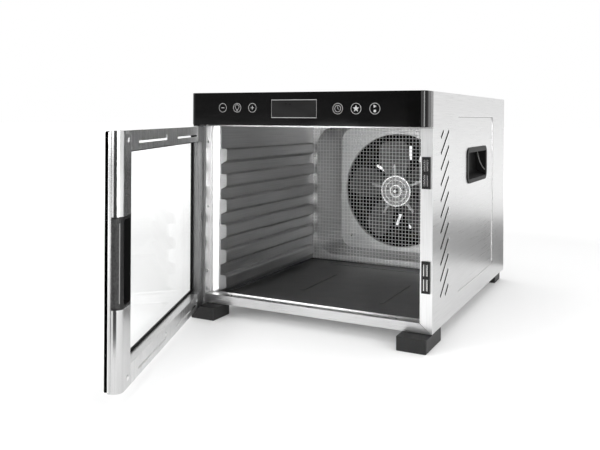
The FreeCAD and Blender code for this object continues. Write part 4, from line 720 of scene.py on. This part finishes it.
def card(name, centre, size, turn, shade):
    """Matt studio card of an (x, z) size, turned by degrees, that shows only in reflections."""
    mesh = bpy.data.meshes.new(name)
    w, h = size[0] / 2, size[1] / 2
    mesh.from_pydata([(-w, 0, -h), (w, 0, -h), (w, 0, h), (-w, 0, h)], [], [(0, 1, 2, 3)])
    paper = Surface(name)
    paper.colour(paper.noise(3.0), ((0.2, grey(shade * 0.9)), (0.8, grey(shade))))
    paper.roughness(paper.noise(30.0), 0.8, 0.9)
    mesh.materials.append(paper.material)
    board = bpy.data.objects.new(name, mesh)
    board.location = centre
    board.rotation_euler = [math.radians(angle) for angle in turn]
    bpy.context.scene.collection.objects.link(board)
    for flag in ("visible_camera", "visible_diffuse", "visible_shadow", "visible_transmission"):
        setattr(board, flag, False)


card("side_card", (0.42, 0.62, 0.004), (0.6, 0.62), (90, 0, 0), 0.25)
card("column_card", (0.048, -0.713, 0.17), (0.17, 0.34), (0, 0, 26), 0.03)

# Brightness round the studio, by the direction in degrees from +X towards +Y.
STUDIO_WALLS = ((-180, 0.9), (-150, 1.0), (-132, 0.2), (-119, 0.35), (-108, 0.1), (-92, 0.1), (-60, 0.15),
                (-40, 0.4), (-15, 0.9), (15, 1.05), (40, 1.0), (60, 0.95), (78, 1.1), (95, 0.7), (110, 0.9),
                (145, 0.9), (180, 0.9))


def studio_world():
    """Walls that light the object, and plain white behind it and through its glass."""
    world = bpy.data.worlds.new("studio")
    bpy.context.scene.world = world
    world.use_nodes = True
    nodes, link = world.node_tree.nodes, world.node_tree.links.new
    direction = nodes.new("ShaderNodeTexCoord")
    split = nodes.new("ShaderNodeSeparateXYZ")
    bearing = nodes.new("ShaderNodeMath")
    bearing.operation = "ARCTAN2"
    turns = nodes.new("ShaderNodeMapRange")
    turns.inputs["From Min"].default_value = -math.pi
    turns.inputs["From Max"].default_value = math.pi
    walls = nodes.new("ShaderNodeValToRGB")
    walls.color_ramp.interpolation = "B_SPLINE"
    while len(walls.color_ramp.elements) < len(STUDIO_WALLS):
        walls.color_ramp.elements.new(0.5)
    for stop, (degrees, brightness) in zip(walls.color_ramp.elements, STUDIO_WALLS):
        stop.position = (degrees + 180) / 360
        stop.color = (*grey(brightness), 1)
    link(direction.outputs["Generated"], split.inputs["Vector"])
    link(split.outputs["Y"], bearing.inputs[0])
    link(split.outputs["X"], bearing.inputs[1])
    link(bearing.outputs["Value"], turns.inputs["Value"])
    link(turns.outputs["Result"], walls.inputs["Fac"])
    background = nodes["Background"]
    link(walls.outputs["Color"], background.inputs["Color"])
    plain = nodes.new("ShaderNodeBackground")
    plain.inputs["Color"].default_value = (1, 1, 1, 1)
    path = nodes.new("ShaderNodeLightPath")
    straight = nodes.new("ShaderNodeMath")
    straight.operation = "MAXIMUM"
    link(path.outputs["Is Camera Ray"], straight.inputs[0])
    link(path.outputs["Is Transmission Ray"], straight.inputs[1])
    choose = nodes.new("ShaderNodeMixShader")
    link(straight.outputs["Value"], choose.inputs["Fac"])
    link(background.outputs["Background"], choose.inputs[1])
    link(plain.outputs["Background"], choose.inputs[2])
    link(choose.outputs["Shader"], nodes["World Output"].inputs["Surface"])


studio_world()

CAMERA_PLACE = (0.42015, -1.04321, 0.28105)
CAMERA_YAW = 0.4658
CAMERA_ROLL = -0.0058
camera_data = bpy.data.cameras.new("camera")
camera_data.sensor_width = 36.0
camera_data.lens = 42.32
camera_data.shift_x = -0.0159
camera_data.shift_y = -0.1793
camera = bpy.data.objects.new("camera", camera_data)
camera.location = CAMERA_PLACE
camera.rotation_mode = "XYZ"
camera.rotation_euler = (math.pi / 2, CAMERA_ROLL, CAMERA_YAW)
bpy.context.scene.collection.objects.link(camera)
bpy.context.scene.camera = camera
bpy.context.scene.view_settings.view_transform = "Standard"
